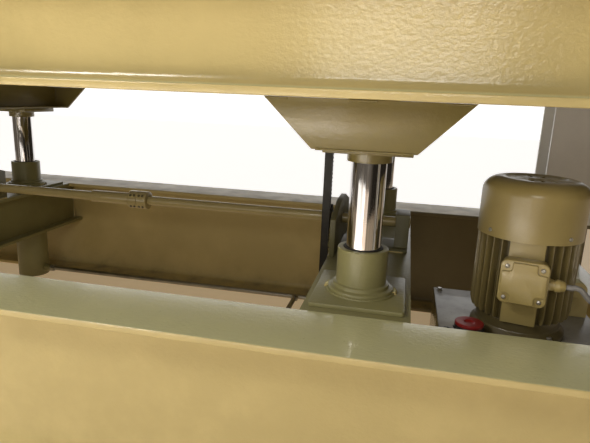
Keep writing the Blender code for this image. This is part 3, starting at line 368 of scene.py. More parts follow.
# Each finish with the record's slot that its pieces stand in
FINISHES = {
    # The frame enamel carries painted light on its level faces
    "frame enamel": ("frame_paint", lambda name: enamel(
        name, panel_colour("enamel"), panel_colour("enamel_shade"), dusty=0.08, specks=0.25,
        sheen=panel_colour("sheen"))),
    # The rear beam's enamel darkens beside the tank as painted shade
    "rear enamel": ("frame_paint", lambda name: enamel(
        name, panel_colour("enamel"), panel_colour("enamel_shade"), gloss=0.32, coat=0.05, oil=0.75)),
    # Painted shade: the shaft's enamel is the frame's paint darkened as if in shade
    "shaft enamel": ("frame_paint", lambda name: enamel(
        name, panel_colour("enamel", 0.75), panel_colour("enamel_shade", 0.72), dusty=0.10, coat=0.20)),
    # Painted shade: the lift enamel darkens the lift beams, rod heads and their welds as if in shade
    "lift enamel": ("frame_paint", painted("lift", (1, 0.85), peel=FINE_PEEL, dusty=0.10, coat=0.10)),
    # Painted shade: the ram enamel is the frame's paint darkened as if in shade
    "ram enamel": ("frame_paint", painted("ram", (1, 0.8), gloss=0.34, dusty=0.10, coat=0.08)),
    # Painted shade: the stand enamel is the ram paint darkened further, as if in deeper shade
    "stand enamel": ("frame_paint", painted("ram", (0.55, 0.45), gloss=0.42, dusty=0.10, coat=0.0)),
    "post enamel": ("frame_paint", painted(
        "post", (1, 0.9), peel=0.00040, gloss=0.34, dusty=0.3, specks=0.3)),
    "motor enamel": ("motor_paint", painted(
        "motor", (1, 0.85), peel=FINE_PEEL, gloss=0.30, dusty=0.15, specks=0.35)),
    # Painted shade: the fins' enamel is the motor paint darkened as if in shade between them
    "fin enamel": ("motor_paint", painted(
        "motor", (0.55, 0.45), peel=FINE_PEEL, gloss=0.34, dusty=0.15)),
    # Painted shade: the drum between the fins and the end shield wear the motor paint darkened to about a
    # quarter
    "drum enamel": ("motor_paint", painted("motor", (0.30, 0.22), peel=FINE_PEEL, gloss=0.36, dusty=0.1)),
    "hard chrome": ("rod_chrome", hard_chrome),
    "ground steel": ("platen_steel", lambda name: bare_steel(name, panel_colour("steel"), (0.03, 1.0, 1.0))),
    "zinc": ("lid_steel", lambda name: bare_steel(name, panel_colour("steel"), (1.0, 1.0, 1.0), 0.28)),
    "line steel": ("line_steel", lambda name: bare_steel(name, (0.36, 0.35, 0.32), (1.0, 1.0, 0.2), 0.32)),
    "oiled steel": ("rack_steel", oiled_steel),
    "lid paint": ("lid_steel", lid_paint),
    "cap red": ("cap_red", lambda name: moulded(name, panel_colour("cap"), 0.34, 700.0, 0.5)),
    "black plastic": ("black_plastic", lambda name: moulded(name, panel_colour("black"), 0.42)),
    "wiper rubber": ("seal_rubber", lambda name: moulded(name, (0.016, 0.015, 0.014), 0.55, 300.0, 0.4)),
    "lead sheath": ("lead_grey", lambda name: moulded(name, panel_colour("lead"), 0.50, 260.0, 0.5)),
}


def skin(finish):
    return bpy.data.materials.get(finish) or FINISHES[finish][1](finish)


# Mesh helpers

def settle(obj, body, node=None):
    """Put a finished piece on its body, in its slot and in place of its plain node."""
    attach(obj, body)
    if node:
        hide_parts(node)
    return obj


def placed(name, data):
    """An object of the mesh or curve, in the scene's collection."""
    obj = bpy.data.objects.new(name, data)
    bpy.context.scene.collection.objects.link(obj)
    return obj


def shape(name, bm, finish, crease=34):
    """An object of the bmesh in its finish, on no body yet."""
    mesh = bpy.data.meshes.new(name)
    bm.to_mesh(mesh)
    bm.free()
    mesh.shade_smooth()
    mesh.set_sharp_from_angle(angle=math.radians(crease))
    mesh.materials.append(skin(finish))
    return placed(name, mesh)


def piece(name, bm, body, finish, node=None, crease=34):
    return settle(shape(name, bm, finish, crease), body, node)


def lathe(name, outline, at, body, finish, node=None, axis="Z", steps=None):
    """A piece turned from an outline of (radius, height), with its axis through a point."""
    return piece(name, moved(turned(outline, axis, steps), at), body, finish, node)


def polar(radius, angle, height=0.0):
    return Vector((radius * math.cos(angle), radius * math.sin(angle), height))


def eased(corners, steps=5):
    """A closed outline from (a, b) or (a, b, radius): a corner with a radius becomes an arc."""
    points = [Vector(corner[:2]) for corner in corners]
    smooth = []
    for i, (corner, point) in enumerate(zip(corners, points)):
        radius = corner[2] if len(corner) > 2 else 0
        if not radius:
            smooth.append(tuple(point))
            continue
        back = (points[i - 1] - point).normalized()
        ahead = (points[(i + 1) % len(points)] - point).normalized()
        half = back.angle(ahead) / 2
        centre = point + (back + ahead).normalized() * (radius / math.sin(half))
        start = point + back * (radius / math.tan(half)) - centre
        stop = point + ahead * (radius / math.tan(half)) - centre
        first = math.atan2(start.y, start.x)
        sweep = math.remainder(math.atan2(stop.y, stop.x) - first, FULL)
        for k in range(steps + 1):
            angle = first + sweep * k / steps
            smooth.append((centre.x + radius * math.cos(angle), centre.y + radius * math.sin(angle)))
    return smooth


def faced(bm):
    """The same bmesh with its faces outward."""
    bmesh.ops.recalc_face_normals(bm, faces=bm.faces)
    return bm


def prism(outline, axis, start, stop):
    """Extrude a closed outline along X (outline in Y, Z), Y (in X, Z) or Z (in X, Y)."""
    place = {"X": lambda a, b, t: (t, a, b), "Y": lambda a, b, t: (a, t, b),
             "Z": lambda a, b, t: (a, b, t)}[axis]
    bm = bmesh.new()
    near = [bm.verts.new(place(a, b, start)) for a, b in outline]
    far = [bm.verts.new(place(a, b, stop)) for a, b in outline]
    bm.faces.new(near)
    bm.faces.new(list(reversed(far)))
    for i in range(len(outline)):
        j = (i + 1) % len(outline)
        bm.faces.new((near[i], near[j], far[j], far[i]))
    return faced(bm)


def box_outline(low, high, corner=0.0):
    (x0, y0), (x1, y1) = low, high
    points = [(x0, y0), (x1, y0), (x1, y1), (x0, y1)]
    return eased([(*point, corner) for point in points]) if corner else points


def rings_of(bm, outline, steps):
    """A ring of vertices for each (radius, height), and one shared vertex where the radius is zero."""
    return [[bm.verts.new(polar(radius, FULL * i / steps, height)) for i in range(steps)] if radius > POLE
            else [bm.verts.new((0, 0, height))] * steps for radius, height in outline]


def bridged(bm, rings):
    """Faces between each ring and the next. A pole gives triangles."""
    for low, high in rings:
        for i in range(len(low)):
            j = (i + 1) % len(low)
            corners = list(dict.fromkeys((low[i], low[j], high[j], high[i])))
            if len(corners) > 2:
                bm.faces.new(corners)


def turned(outline, axis="Z", steps=None):
    """Revolve points (radius, height) into a closed solid. Points at radius zero become poles."""
    bm = bmesh.new()
    rings = rings_of(bm, outline, steps or sizes().round_steps)
    closed = outline[0][0] > POLE
    bridged(bm, zip(rings, rings[1:] + rings[:1] if closed else rings[1:]))
    if axis == "X":
        bmesh.ops.transform(bm, matrix=Matrix.Rotation(QUARTER, 4, "Y"), verts=bm.verts)
    return faced(bm)


def moved(bm, at=(0, 0, 0), turn=0.0):
    way = Matrix.Translation(Vector(at)) @ Matrix.Rotation(turn, 4, "Z")
    bmesh.ops.transform(bm, matrix=way, verts=bm.verts)
    return bm


def bevelled(bm, width, segments=2, limit=30):
    edges = [e for e in bm.edges if len(e.link_faces) == 2 and e.calc_face_angle(0) > math.radians(limit)]
    bmesh.ops.bevel(bm, geom=edges, offset=width, segments=segments, profile=0.5, affect="EDGES",
                    clamp_overlap=True)
    return bm


def joined(*parts):
    """One bmesh of several, each of them a closed shell."""
    whole = bmesh.new()
    for part in parts:
        mesh = bpy.data.meshes.new("part")
        part.to_mesh(mesh)
        part.free()
        whole.from_mesh(mesh)
        bpy.data.meshes.remove(mesh)
    return whole


def softened(node, width=None, segments=2):
    """A copy of a plain node with its loose triangles merged and its cut edges rounded."""
    bm = bmesh.new()
    bm.from_mesh(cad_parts[node].data)
    bmesh.ops.remove_doubles(bm, verts=bm.verts, dist=0.00001)
    bmesh.ops.dissolve_limit(bm, angle_limit=math.radians(1), verts=bm.verts, edges=bm.edges)
    return bevelled(bm, sizes().plate_edge if width is None else width, segments)


def redressed(node, name, body, finish, width=None, segments=2):
    return piece(name, softened(node, width, segments), body, finish, node)


# What repeats: geometry trees

def geometry_tree(name, inputs):
    """A tree with a Geometry input and output and the named inputs: (label, socket type, default)."""
    tree = bpy.data.node_groups.new(name, "GeometryNodeTree")
    tree.interface.new_socket("Geometry", in_out="INPUT", socket_type="NodeSocketGeometry")
    for label, kind, default in inputs:
        socket = tree.interface.new_socket(label, in_out="INPUT", socket_type=kind)
        if default is not None:
            socket.default_value = default
    tree.interface.new_socket("Geometry", in_out="OUTPUT", socket_type="NodeSocketGeometry")
    graph = Graph(tree)
    source = tree.nodes.new("NodeGroupInput")
    given = {socket.name: Value(graph, socket) for socket in source.outputs if socket.name}
    return graph, given


def end_tree(graph, geometry, material):
    whole = graph.node("GeometryNodeRealizeInstances", {}, {"Geometry": geometry})
    coated = graph.node("GeometryNodeSetMaterial", {}, {"Geometry": whole, "Material": material})
    out = graph.tree.nodes.new("NodeGroupOutput")
    graph.tree.links.new(coated.socket, out.inputs["Geometry"])
    return graph.tree


def repeat_tree():
    """One copy of the Head at each point, with its Z along the point's axis and its own spin."""
    graph, given = geometry_tree("repeat on points", [
        ("Head", "NodeSocketObject", None), ("Material", "NodeSocketMaterial", None)])
    axis = graph.node("GeometryNodeInputNamedAttribute", {"data_type": "FLOAT_VECTOR"}, {"Name": "axis"})
    spin = graph.node("GeometryNodeInputNamedAttribute", {"data_type": "FLOAT"}, {"Name": "spin"})
    turn = graph.node("FunctionNodeAxisAngleToRotation", {}, {"Axis": UPWARD, "Angle": spin})
    facing = graph.node("FunctionNodeAlignRotationToVector", {"axis": "Z"}, {
        "Rotation": turn, "Vector": axis})
    head = graph.node("GeometryNodeObjectInfo", {}, {"Object": given["Head"]}, "Geometry")
    points = graph.node("GeometryNodeMeshToPoints", {}, {"Mesh": given["Geometry"]})
    copies = graph.node("GeometryNodeInstanceOnPoints", {}, {
        "Points": points, "Instance": head, "Rotation": facing})
    return end_tree(graph, copies, given["Material"])


def weld_tree():
    """A rippled bead swept along each run of edges."""
    graph, given = geometry_tree("weld bead", [
        ("Bead Radius", "NodeSocketFloat", 0.003), ("Ripple Pitch", "NodeSocketFloat", 0.004),
        ("Ripple", "NodeSocketFloat", 0.14), ("Step", "NodeSocketFloat", 0.0015),
        ("Seed", "NodeSocketInt", 3), ("Material", "NodeSocketMaterial", None)])
    run = graph.node("GeometryNodeMeshToCurve", {}, {"Mesh": given["Geometry"]})
    run = graph.node("GeometryNodeResampleCurve", {"mode": "LENGTH"}, {
        "Curve": run, "Length": given["Step"]})
    sway = graph.node("FunctionNodeRandomValue", {"data_type": "FLOAT_VECTOR"}, {
        0: (-1, -1, -1), 1: (1, 1, 1), "Seed": given["Seed"]})
    drift = graph.node("ShaderNodeVectorMath", {"operation": "SCALE"}, {
        0: sway, "Scale": given["Bead Radius"] * 0.07})
    run = graph.node("GeometryNodeSetPosition", {}, {"Geometry": run, "Offset": drift})
    along = graph.node("GeometryNodeSplineParameter", output="Length")
    wave = graph.node("ShaderNodeMath", {"operation": "SINE"}, {0: along * FULL / given["Ripple Pitch"]})
    ring = graph.node("GeometryNodeCurvePrimitiveCircle", {"mode": "RADIUS"}, {
        "Resolution": 8, "Radius": given["Bead Radius"]})
    bead = graph.node("GeometryNodeCurveToMesh", {}, {
        "Curve": run, "Profile Curve": ring, "Scale": 1 + wave * given["Ripple"], "Fill Caps": True})
    bead = graph.node("GeometryNodeSetShadeSmooth", {}, {"Geometry": bead, "Shade Smooth": True})
    return end_tree(graph, bead, given["Material"])


def grown(name, source, tree, values, body, finish):
    """Run a tree on the source object and keep the result as one plain mesh on one body."""
    step = source.modifiers.new(tree.name, "NODES")
    step.node_group = tree
    sockets = {item.name: item.identifier for item in tree.interface.items_tree if item.in_out == "INPUT"}
    for label, given in (*values.items(), ("Material", skin(finish))):
        step[sockets[label]] = given
    source.update_tag()
    bpy.context.view_layer.update()
    found = source.evaluated_get(bpy.context.evaluated_depsgraph_get())
    mesh = bpy.data.meshes.new_from_object(found)
    if not mesh.polygons:
        raise RuntimeError(f"{name} came out empty")
    source.modifiers.remove(step)
    bpy.data.objects.remove(source)
    mesh.name = name
    return settle(placed(name, mesh), body)


def repeated(name, head, spots, finish, body="frame", crease=34):
    """Copies of a head shape. spots holds (place, axis) or (place, axis, spin)."""
    one = shape(f"{name}_head", head, finish, crease)
    mesh = bpy.data.meshes.new(f"{name}_points")
    mesh.from_pydata([tuple(spot[0]) for spot in spots], [], [])
    mesh.attributes.new("axis", "FLOAT_VECTOR", "POINT")
    mesh.attributes.new("spin", "FLOAT", "POINT")
    for i, spot in enumerate(spots):
        mesh.attributes["axis"].data[i].vector = spot[1]
        mesh.attributes["spin"].data[i].value = spot[2] if len(spot) > 2 else UNEVEN_SPIN * i
    tree = bpy.data.node_groups.get("repeat on points") or repeat_tree()
    made = grown(name, placed(f"{name}_points", mesh), tree, {"Head": one}, body, finish)
    bpy.data.objects.remove(one)
    return made


def welded(name, runs, body, radius=None, ripple=0.14, finish="frame enamel"):
    """Weld beads along runs of points: each run with whether its ends meet."""
    mesh = bpy.data.meshes.new(f"{name}_runs")
    points, edges = [], []
    for run, closed in runs:
        first = len(points)
        points += [tuple(p) for p in run]
        edges += [(first + i, first + i + 1) for i in range(len(run) - 1)]
        if closed:
            edges.append((len(points) - 1, first))
    mesh.from_pydata(points, edges, [])
    tree = bpy.data.node_groups.get("weld bead") or weld_tree()
    return grown(name, placed(f"{name}_runs", mesh), tree, {
        "Bead Radius": radius or sizes().bead_radius, "Ripple Pitch": sizes().bead_pitch, "Ripple": ripple,
        "Step": sizes().bead_step, "Seed": len(points)}, body, finish)


def circle_run(centre, radius, steps=72):
    return [Vector(centre) + polar(radius, FULL * i / steps) for i in range(steps)]


def hex_head(radius, height, washer=0.0):
    """A hexagon head with a chamfered crown, on a washer if it has one."""
    flat = radius * math.cos(math.pi / 6)
    bm = turned([(0, 0), (radius, 0), (radius, height * 0.82), (flat, height), (0, height)], steps=6)
    if washer:
        wide, rim = radius * 1.22, radius * 1.16
        ring = [(0, 0), (wide, 0), (wide, washer * 0.7), (rim, washer), (0, washer)]
        bm = joined(moved(bm, (0, 0, washer)), turned(ring, steps=32))
    return bm


def socket_head(radius, height, steps=24):
    """A cylinder head with its hexagon socket."""
    well, part = radius * 0.52, FULL / 6
    bm = bmesh.new()
    rings = rings_of(bm, [(radius, 0), (radius, height * 0.88), (radius * 0.90, height)], steps)
    for depth in (height, height * 0.35):
        ring = []
        for i in range(steps):
            angle = FULL * i / steps
            reach = well / math.cos((angle % part) - part / 2) * math.cos(part / 2)
            ring.append(bm.verts.new(polar(reach, angle, depth)))
        rings.append(ring)
    bridged(bm, zip(rings, rings[1:]))
    bm.faces.new(rings[0])
    bm.faces.new(rings[-1])
    return faced(bm)


def slotted_head(radius, height):
    """A pan head. Its crown is cut along the sides of the slot and pressed down between them."""
    outline = eased([(0, 0), (radius, 0), (radius, height, height * 0.6), (0, height * 1.12)], 4)
    dome = turned(outline, steps=24)
    blade = radius * 0.13
    for side in (blade, -blade):
        whole = dome.verts[:] + dome.edges[:] + dome.faces[:]
        bmesh.ops.bisect_plane(dome, geom=whole, plane_co=(0, side, 0), plane_no=(0, 1, 0))
    for vert in dome.verts:
        if abs(vert.co.y) < blade * 0.5 and vert.co.z > height * 0.4:
            vert.co.z = height * 0.45
    return dome


# Beams and plates

def i_section(width, height, flange, web, root, toe):
    """A rolled beam's outline (across, up) with its root fillets and rounded toes."""
    half, wall, under = width / 2, web / 2, height - flange
    right = [(half, 0, toe), (half, flange, toe), (wall, flange, root), (wall, under, root),
             (half, under, toe), (half, height, toe)]
    return eased(right + [(-a, b, radius) for a, b, radius in reversed(right)], 6)


def rolled_beam(node, name, body, section, axis="X", finish="frame enamel"):
    low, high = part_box(node)
    along, across = (0, 1) if axis == "X" else (1, 0)
    middle = ((low + high) / 2)[across]
    outline = [(a + middle, b + low.z) for a, b in section]
    return piece(name, prism(outline, axis, low[along], high[along]), body, finish, node, crease=50)


def make_beams():
    toe = sizes().toe_radius
    beams = (("base", "frame", i_section(0.190, 0.450, 0.0150, 0.0100, 0.0210, toe)),
             ("moving", "platen", i_section(0.190, 0.240, 0.0150, 0.0100, 0.0210, toe)),
             ("top", "frame", i_section(0.190, 0.300, 0.0140, 0.0090, 0.0180, toe)))
    tie = i_section(0.100, 0.200, 0.0085, 0.0056, 0.0120, toe / 2)
    for row in ROWS:
        for level, body, section in beams:
            # The rear base beam's enamel carries painted shade beside the tank
            finish = "rear enamel" if (row, level) == ("rear", "base") else "frame enamel"
            rolled_beam(f"{level}_beam_{row}", f"{row}_{level}_beam", body, section, finish=finish)
    for side in SIDES:
        rolled_beam(f"end_tie_{side}", f"{side}_end_tie", "frame", tie, "Y")
        # The cross beams wear the ram enamel's painted shade
        redressed(f"cross_beam_{side}", f"{side}_cross_beam", "frame", "ram enamel")
    for corner, _, _ in CORNERS:
        redressed(f"upright_{corner}", f"{corner}_upright", "frame", "post enamel")


def make_platens():
    redressed("upper_platen", "fixed_upper_platen", "frame", "ground steel", 0.0006)
    redressed("lower_platen", "moving_lower_platen", "platen", "ground steel", 0.0006)
    for side in SIDES:
        redressed(f"lift_beam_{side}", f"{side}_lift_beam", "platen", "lift enamel")


def make_rams():
    s = sizes()
    rod, neck, collar, tube = s.rod_radius, s.neck_radius, s.collar_radius, s.tube_radius
    floor, top, seat = 0.025, BASE_TOP + SEAT, 0.566 + SEAT
    piston, bore, head_low, pad_low = 0.0522, 0.0470, 0.768, 0.791
    shell = eased([
        (0, floor), (tube, floor, 0.003), (tube, top + 0.004, 0.001), (collar, top + 0.004, 0.001),
        (collar, top + 0.021, 0.0055), (0.0668, top + 0.0235, 0.002), (0.0660, top + 0.031, 0.0022),
        (neck, top + 0.033, 0.0012), (neck, seat, 0.0030), (bore, seat, 0.0008), (bore, seat - 0.012),
        (0, seat - 0.012)])
    wiper = eased([(rod + SEAT, seat - 0.008), (0.0467, seat - 0.008), (0.0467, seat + 0.0008, 0.0008),
                   (0.0440, seat + 0.0020, 0.0008), (rod + SEAT, seat + 0.0020, 0.0004)], 3)
    port = eased([(0, -0.006), (0.0160, -0.006), (0.0160, 0.030, 0.0016), (0, 0.030)], 3)
    head, disc_top, pad_half = 0.0514, pad_low + 0.008, 0.095
    disc = eased([(0, head_low), (head, head_low, 0.0016), (head, disc_top), (0, disc_top)], 4)
    mount = box_outline((-0.106, -PLATE_HALF), (0.106, PLATE_HALF), 0.007)
    square = box_outline((-pad_half, -pad_half), (pad_half, pad_half))
    for name, x, y in CORNERS:
        place = Vector((x * RAM_X, y * RAM_Y, 0))
        inlet = moved(turned(port, "X", 32), place + Vector((-x * tube, 0, LINE_Z)), math.pi * (x > 0))
        plate = bevelled(prism(mount, "Z", top, top + 0.010), 0.0012)
        body = joined(moved(turned(shell), place), moved(plate, place), inlet)
        # The cylinders and their collar welds wear the ram enamel's painted shade
        piece(f"{name}_cylinder", body, "frame", "ram enamel", f"cylinder_{name}")
        lathe(f"{name}_wiper", wiper, place, "frame", "wiper rubber", f"rod_seal_{name}")
        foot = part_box(f"rod_{name}")[0].z
        shaft = eased([(0, foot), (piston, foot, 0.001), (piston, foot + 0.040, 0.001), (rod, foot + 0.040),
                       (rod, head_low - SEAT, 0.0015), (0, head_low - SEAT)], 3)
        lathe(f"{name}_rod", shaft, place, "platen", "hard chrome", f"rod_{name}", steps=128)
        pad = bevelled(prism(square, "Z", pad_low, pad_low + 0.016), 0.0014)
        crown = joined(moved(turned(disc), place), moved(pad, place))
        piece(f"{name}_rod_head", crown, "platen", "lift enamel", f"rod_head_{name}")

    def rings(height, radius):
        return [circle_run((x * RAM_X, y * RAM_Y, height), radius) for _, x, y in CORNERS]

    seams = [(ring, True) for ring in rings(top + 0.0105, collar + 0.0006)]
    welded("collar_welds", seams, "frame", 0.0042, 0.10, "ram enamel")
    # The weld ends are real beads, and their lighter frame enamel makes them stand out as painted highlights
    # at the collar's sides
    ends = [(part, False) for ring in rings(top + 0.0110, collar + 0.0030)
            for part in (ring[70:] + ring[:4], ring[33:38])]
    welded("collar_weld_ends", ends, "frame", 0.0062, 0.20)
    seams = [(ring, True) for ring in rings(pad_low - 0.0008, piston)]
    welded("rod_head_welds", seams, "platen", 0.0024, finish="lift enamel")


# Levelling gear

def make_levelling():
    bore_reach = 0.0195
    for side in SIDES:
        redressed(f"rack_{side}", f"{side}_levelling_rack", "platen", "oiled steel", 0.0004, 1)
        redressed(f"pinion_{side}", f"{side}_pinion", "shaft", "oiled steel", 0.0004, 1)
        stand = softened(f"bearing_stand_{side}")
        # The bore is opened a little, so that the rounder shaft turns freely in it
        for vert in stand.verts:
            up = vert.co.z - SHAFT_Z
            if math.hypot(vert.co.y, up) < bore_reach:
                vert.co.y, vert.co.z = vert.co.y * BORE_EASE, SHAFT_Z + up * BORE_EASE
        # The bearing stands and their bolts wear painted shade
        piece(f"{side}_bearing_stand", stand, "frame", "stand enamel", f"bearing_stand_{side}")
    level, radius = Vector((0, 0, SHAFT_Z)), 0.0160
    sleeve, sleeve_start, sleeve_stop = 0.0210, -0.1823, -0.0343

    def shaft_part(name, node, corners, arc=3, steps=48):
        lathe(name, eased(corners, arc), level, "shaft", "shaft enamel", node, axis="X", steps=steps)

    low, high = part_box("torsion_shaft_left")
    shaft_part("left_torsion_shaft", "torsion_shaft_left", [
        (0, low.x), (radius, low.x, 0.0012), (radius, sleeve_start, 0.0005), (sleeve, sleeve_start, 0.0016),
        (sleeve, sleeve_stop, 0.0010), (radius, sleeve_stop), (radius, high.x, 0.001), (0, high.x)])
    low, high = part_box("torsion_shaft_right")
    shaft_part("right_torsion_shaft", "torsion_shaft_right", [
        (0, low.x), (radius, low.x, 0.001), (radius, high.x, 0.0012), (0, high.x)])
    half, outer, bore, split = 0.034, 0.0310, 0.0163, 0.0012
    shaft_part("clamp_coupling", "shaft_coupling", [
        (bore, -half), (outer, -half, 0.003), (outer, -split), (outer - 0.0016, 0), (outer, split),
        (outer, half, 0.003), (bore, half)], 4, 64)
    spots = []
    for x in (-0.022, -0.009, 0.009, 0.022):
        for angle in (-38, 38, 142, 218):
            way = Vector((0, -math.cos(math.radians(angle)), math.sin(math.radians(angle))))
            spots.append((Vector((x, 0, SHAFT_Z)) + way * (outer - split), way))
    repeated("coupling_screws", socket_head(0.0040, 0.0028), spots, "oiled steel", "shaft")
    spots = [((side * (RAM_X - 0.117), y, BASE_TOP + 0.030), (-side, 0, 0)) for side in (-1, 1)
             for y in (-0.150, -0.118, 0.118, 0.150)]
    repeated("stand_bolts", hex_head(0.0085, 0.0055, 0.0016), spots, "stand enamel")


# Oil tank and what stands on its lid

def make_tank():
    redressed("oil_tank", "oil_tank_body", "frame", "frame enamel", 0.0010)
    redressed("tank_lid", "tank_cover", "frame", "lid paint", 0.0009)
    low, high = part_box("tank_lid")
    inset = 0.016
    spots = [((x, y, high.z), UPWARD) for x in (low.x + inset, (low.x + high.x) / 2, high.x - inset)
             for y in (low.y + inset, high.y - inset)]
    repeated("lid_bolts", hex_head(0.0070, 0.0048, 0.0014), spots, "zinc")
    seat = LID_TOP + SEAT
    collar, neck = 0.0370, 0.0300
    outline = eased([(0, seat), (collar, seat, 0.0004), (collar, seat + 0.005, 0.0012),
                     (neck, seat + 0.005, 0.0008), (neck, seat + 0.020, 0.0006), (0, seat + 0.020)], 3)
    lathe("filler_socket", outline, CAP_AXIS, "frame", "black plastic", "filler_neck")
    rim, wide = seat + 0.0203, 0.0325
    disc = rim + 0.0130
    outline = eased([
        (0, disc), (wide, disc, 0.0006), (wide, rim + 0.0185, 0.0012), (0.0300, rim + 0.0200, 0.0020),
        (0.0125, rim + 0.0196, 0.003), (0.0085, rim + 0.0170, 0.003), (0, rim + 0.0166)])
    lathe("red_filler_cap", outline, CAP_AXIS, "cap", "cap red", "filler_cap")
    under = disc - 0.0002
    outline = eased([(0, rim), (wide, rim, 0.0008), (wide, under, 0.0006), (0, under)], 3)
    lathe("cap_skirt", outline, CAP_AXIS, "cap", "black plastic")
    make_cap_ribs(rim)
    outline = eased([(0, seat), (0.0105, seat), (0.0105, seat + 0.005, 0.0014),
                     (0.0065, seat + 0.0055, 0.0004), (0.0060, seat + 0.003), (0, seat + 0.003)], 3)
    lathe("lid_bung", outline, CAP_AXIS + Vector((-0.044, 0.028, 0)), "frame", "black plastic", steps=32)
    redressed("valve_block", "valve_body", "frame", "frame enamel", 0.0010)
    low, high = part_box("valve_block")
    middle, top = (low.y + high.y) / 2, LID_TOP + 0.0583
    spots = [((x, y, top), UPWARD) for x in (low.x + 0.009, high.x - 0.009)
             for y in (middle - 0.036, middle + 0.036)]
    repeated("valve_screws", socket_head(0.0042, 0.0040), spots, "oiled steel")


def make_cap_ribs(rim, count=36):
    """Grip ribs round the filler cap, from the height of its rim upwards."""
    rib = prism(eased([(-0.0012, 0), (0.0012, 0), (0.0010, 0.0014, 0.0006), (-0.0010, 0.0014, 0.0006)], 3),
                "Y", 0, 0.0115)
    ways = [polar(1, FULL * i / count) for i in range(count)]
    spots = [(CAP_AXIS + way * 0.0324 + Vector((0, 0, rim + 0.001)), way, 0.0) for way in ways]
    repeated("cap_ribs", rib, spots, "black plastic", "cap")


# Motor

def motor_corner(i):
    """The angle of one of the four screws between the motor's flats."""
    return math.pi / 4 + QUARTER * i + MOTOR_TURN


def make_motor():
    seat = LID_TOP + SEAT
    flange, barrel = 0.108, 0.096
    outline = eased([
        (0, seat), (flange, seat, 0.0015), (flange, seat + 0.012, 0.004), (barrel, seat + 0.024, 0.006),
        (barrel, seat + 0.048, 0.002), (0, seat + 0.048)], 4)
    # The end shield is darkened as painted shade
    lathe("motor_end_shield", outline, MOTOR_AXIS, "frame", "drum enamel", "motor_shield")
    spots = [(MOTOR_AXIS + polar(0.101, motor_corner(i), seat + 0.012), UPWARD) for i in range(4)]
    repeated("shield_bolts", hex_head(0.0075, 0.0060, 0.0016), spots, "zinc")
    low, high = 0.4206, 0.6256
    pad = bevelled(prism(box_outline((-0.037, -0.106), (0.037, -0.080)), "Z", low, high), 0.0022)
    piece("housing_pad", moved(pad, MOTOR_AXIS, MOTOR_TURN), "frame", "motor enamel")
    drum = turned(eased([(0, low), (0.0940, low, 0.001), (0.0940, high, 0.001), (0.030, high),
                         (0.030, high + 0.012, 0.001), (0, high + 0.012)], 3))
    # The drum between the fins is darkened as painted shade
    piece("motor_housing", moved(drum, MOTOR_AXIS, MOTOR_TURN), "frame", "drum enamel", "motor_stator")
    make_fins(low, high)
    make_cowl()
    base = high + 0.0123
    hub = eased([(0, base), (0.0260, base, 0.001), (0.0230, base + 0.045, 0.004), (0, base + 0.045)], 3)
    lathe("fan_hub", hub, MOTOR_AXIS, "fan", "black plastic", "motor_fan")
    # The blade is drawn lying down and stood up by swapping Y and Z
    outline = eased([(0.010, 0.022), (0.044, 0.022), (0.044, 0.088, 0.006), (0.016, 0.088, 0.006)], 3)
    blade = prism(outline, "X", -0.0015, 0.0015)
    bmesh.ops.transform(blade, matrix=Matrix(((1, 0, 0, 0), (0, 0, 1, 0), (0, 1, 0, 0), (0, 0, 0, 1))),
                        verts=blade.verts)
    blades = sizes().blade_count
    spots = [(MOTOR_AXIS + Vector((0, 0, base)), UPWARD, FULL * i / blades) for i in range(blades)]
    repeated("fan_blades", faced(blade), spots, "black plastic", "fan")


def make_fins(low, high):
    """Cast cooling fins, rounded in at both ends, left out behind the terminal box's pad."""
    foot, tip = 0.0925, 0.1130
    outline = eased([(foot, low + 0.002), (tip - 0.004, low + 0.002, 0.008), (tip, low + 0.020, 0.030),
                     (tip, high - 0.004, 0.001), (foot, high - 0.004)])
    fin = prism(outline, "Y", -0.0023, 0.0023)
    for vert in fin.verts:
        vert.co.y *= 1 - 0.45 * (vert.co.x - foot) / (tip - foot)
    bevelled(fin, 0.0007, 2, 60)
    count, pad_half = sizes().fin_count, 0.0416
    angles = [-QUARTER + FULL * (i + 0.5) / count for i in range(count)]
    spots = [(MOTOR_AXIS, UPWARD, angle + MOTOR_TURN) for angle in angles
             if abs(tip * math.cos(angle)) >= pad_half or math.sin(angle) >= 0]
    repeated("motor_fins", fin, spots, "fin enamel", crease=50)


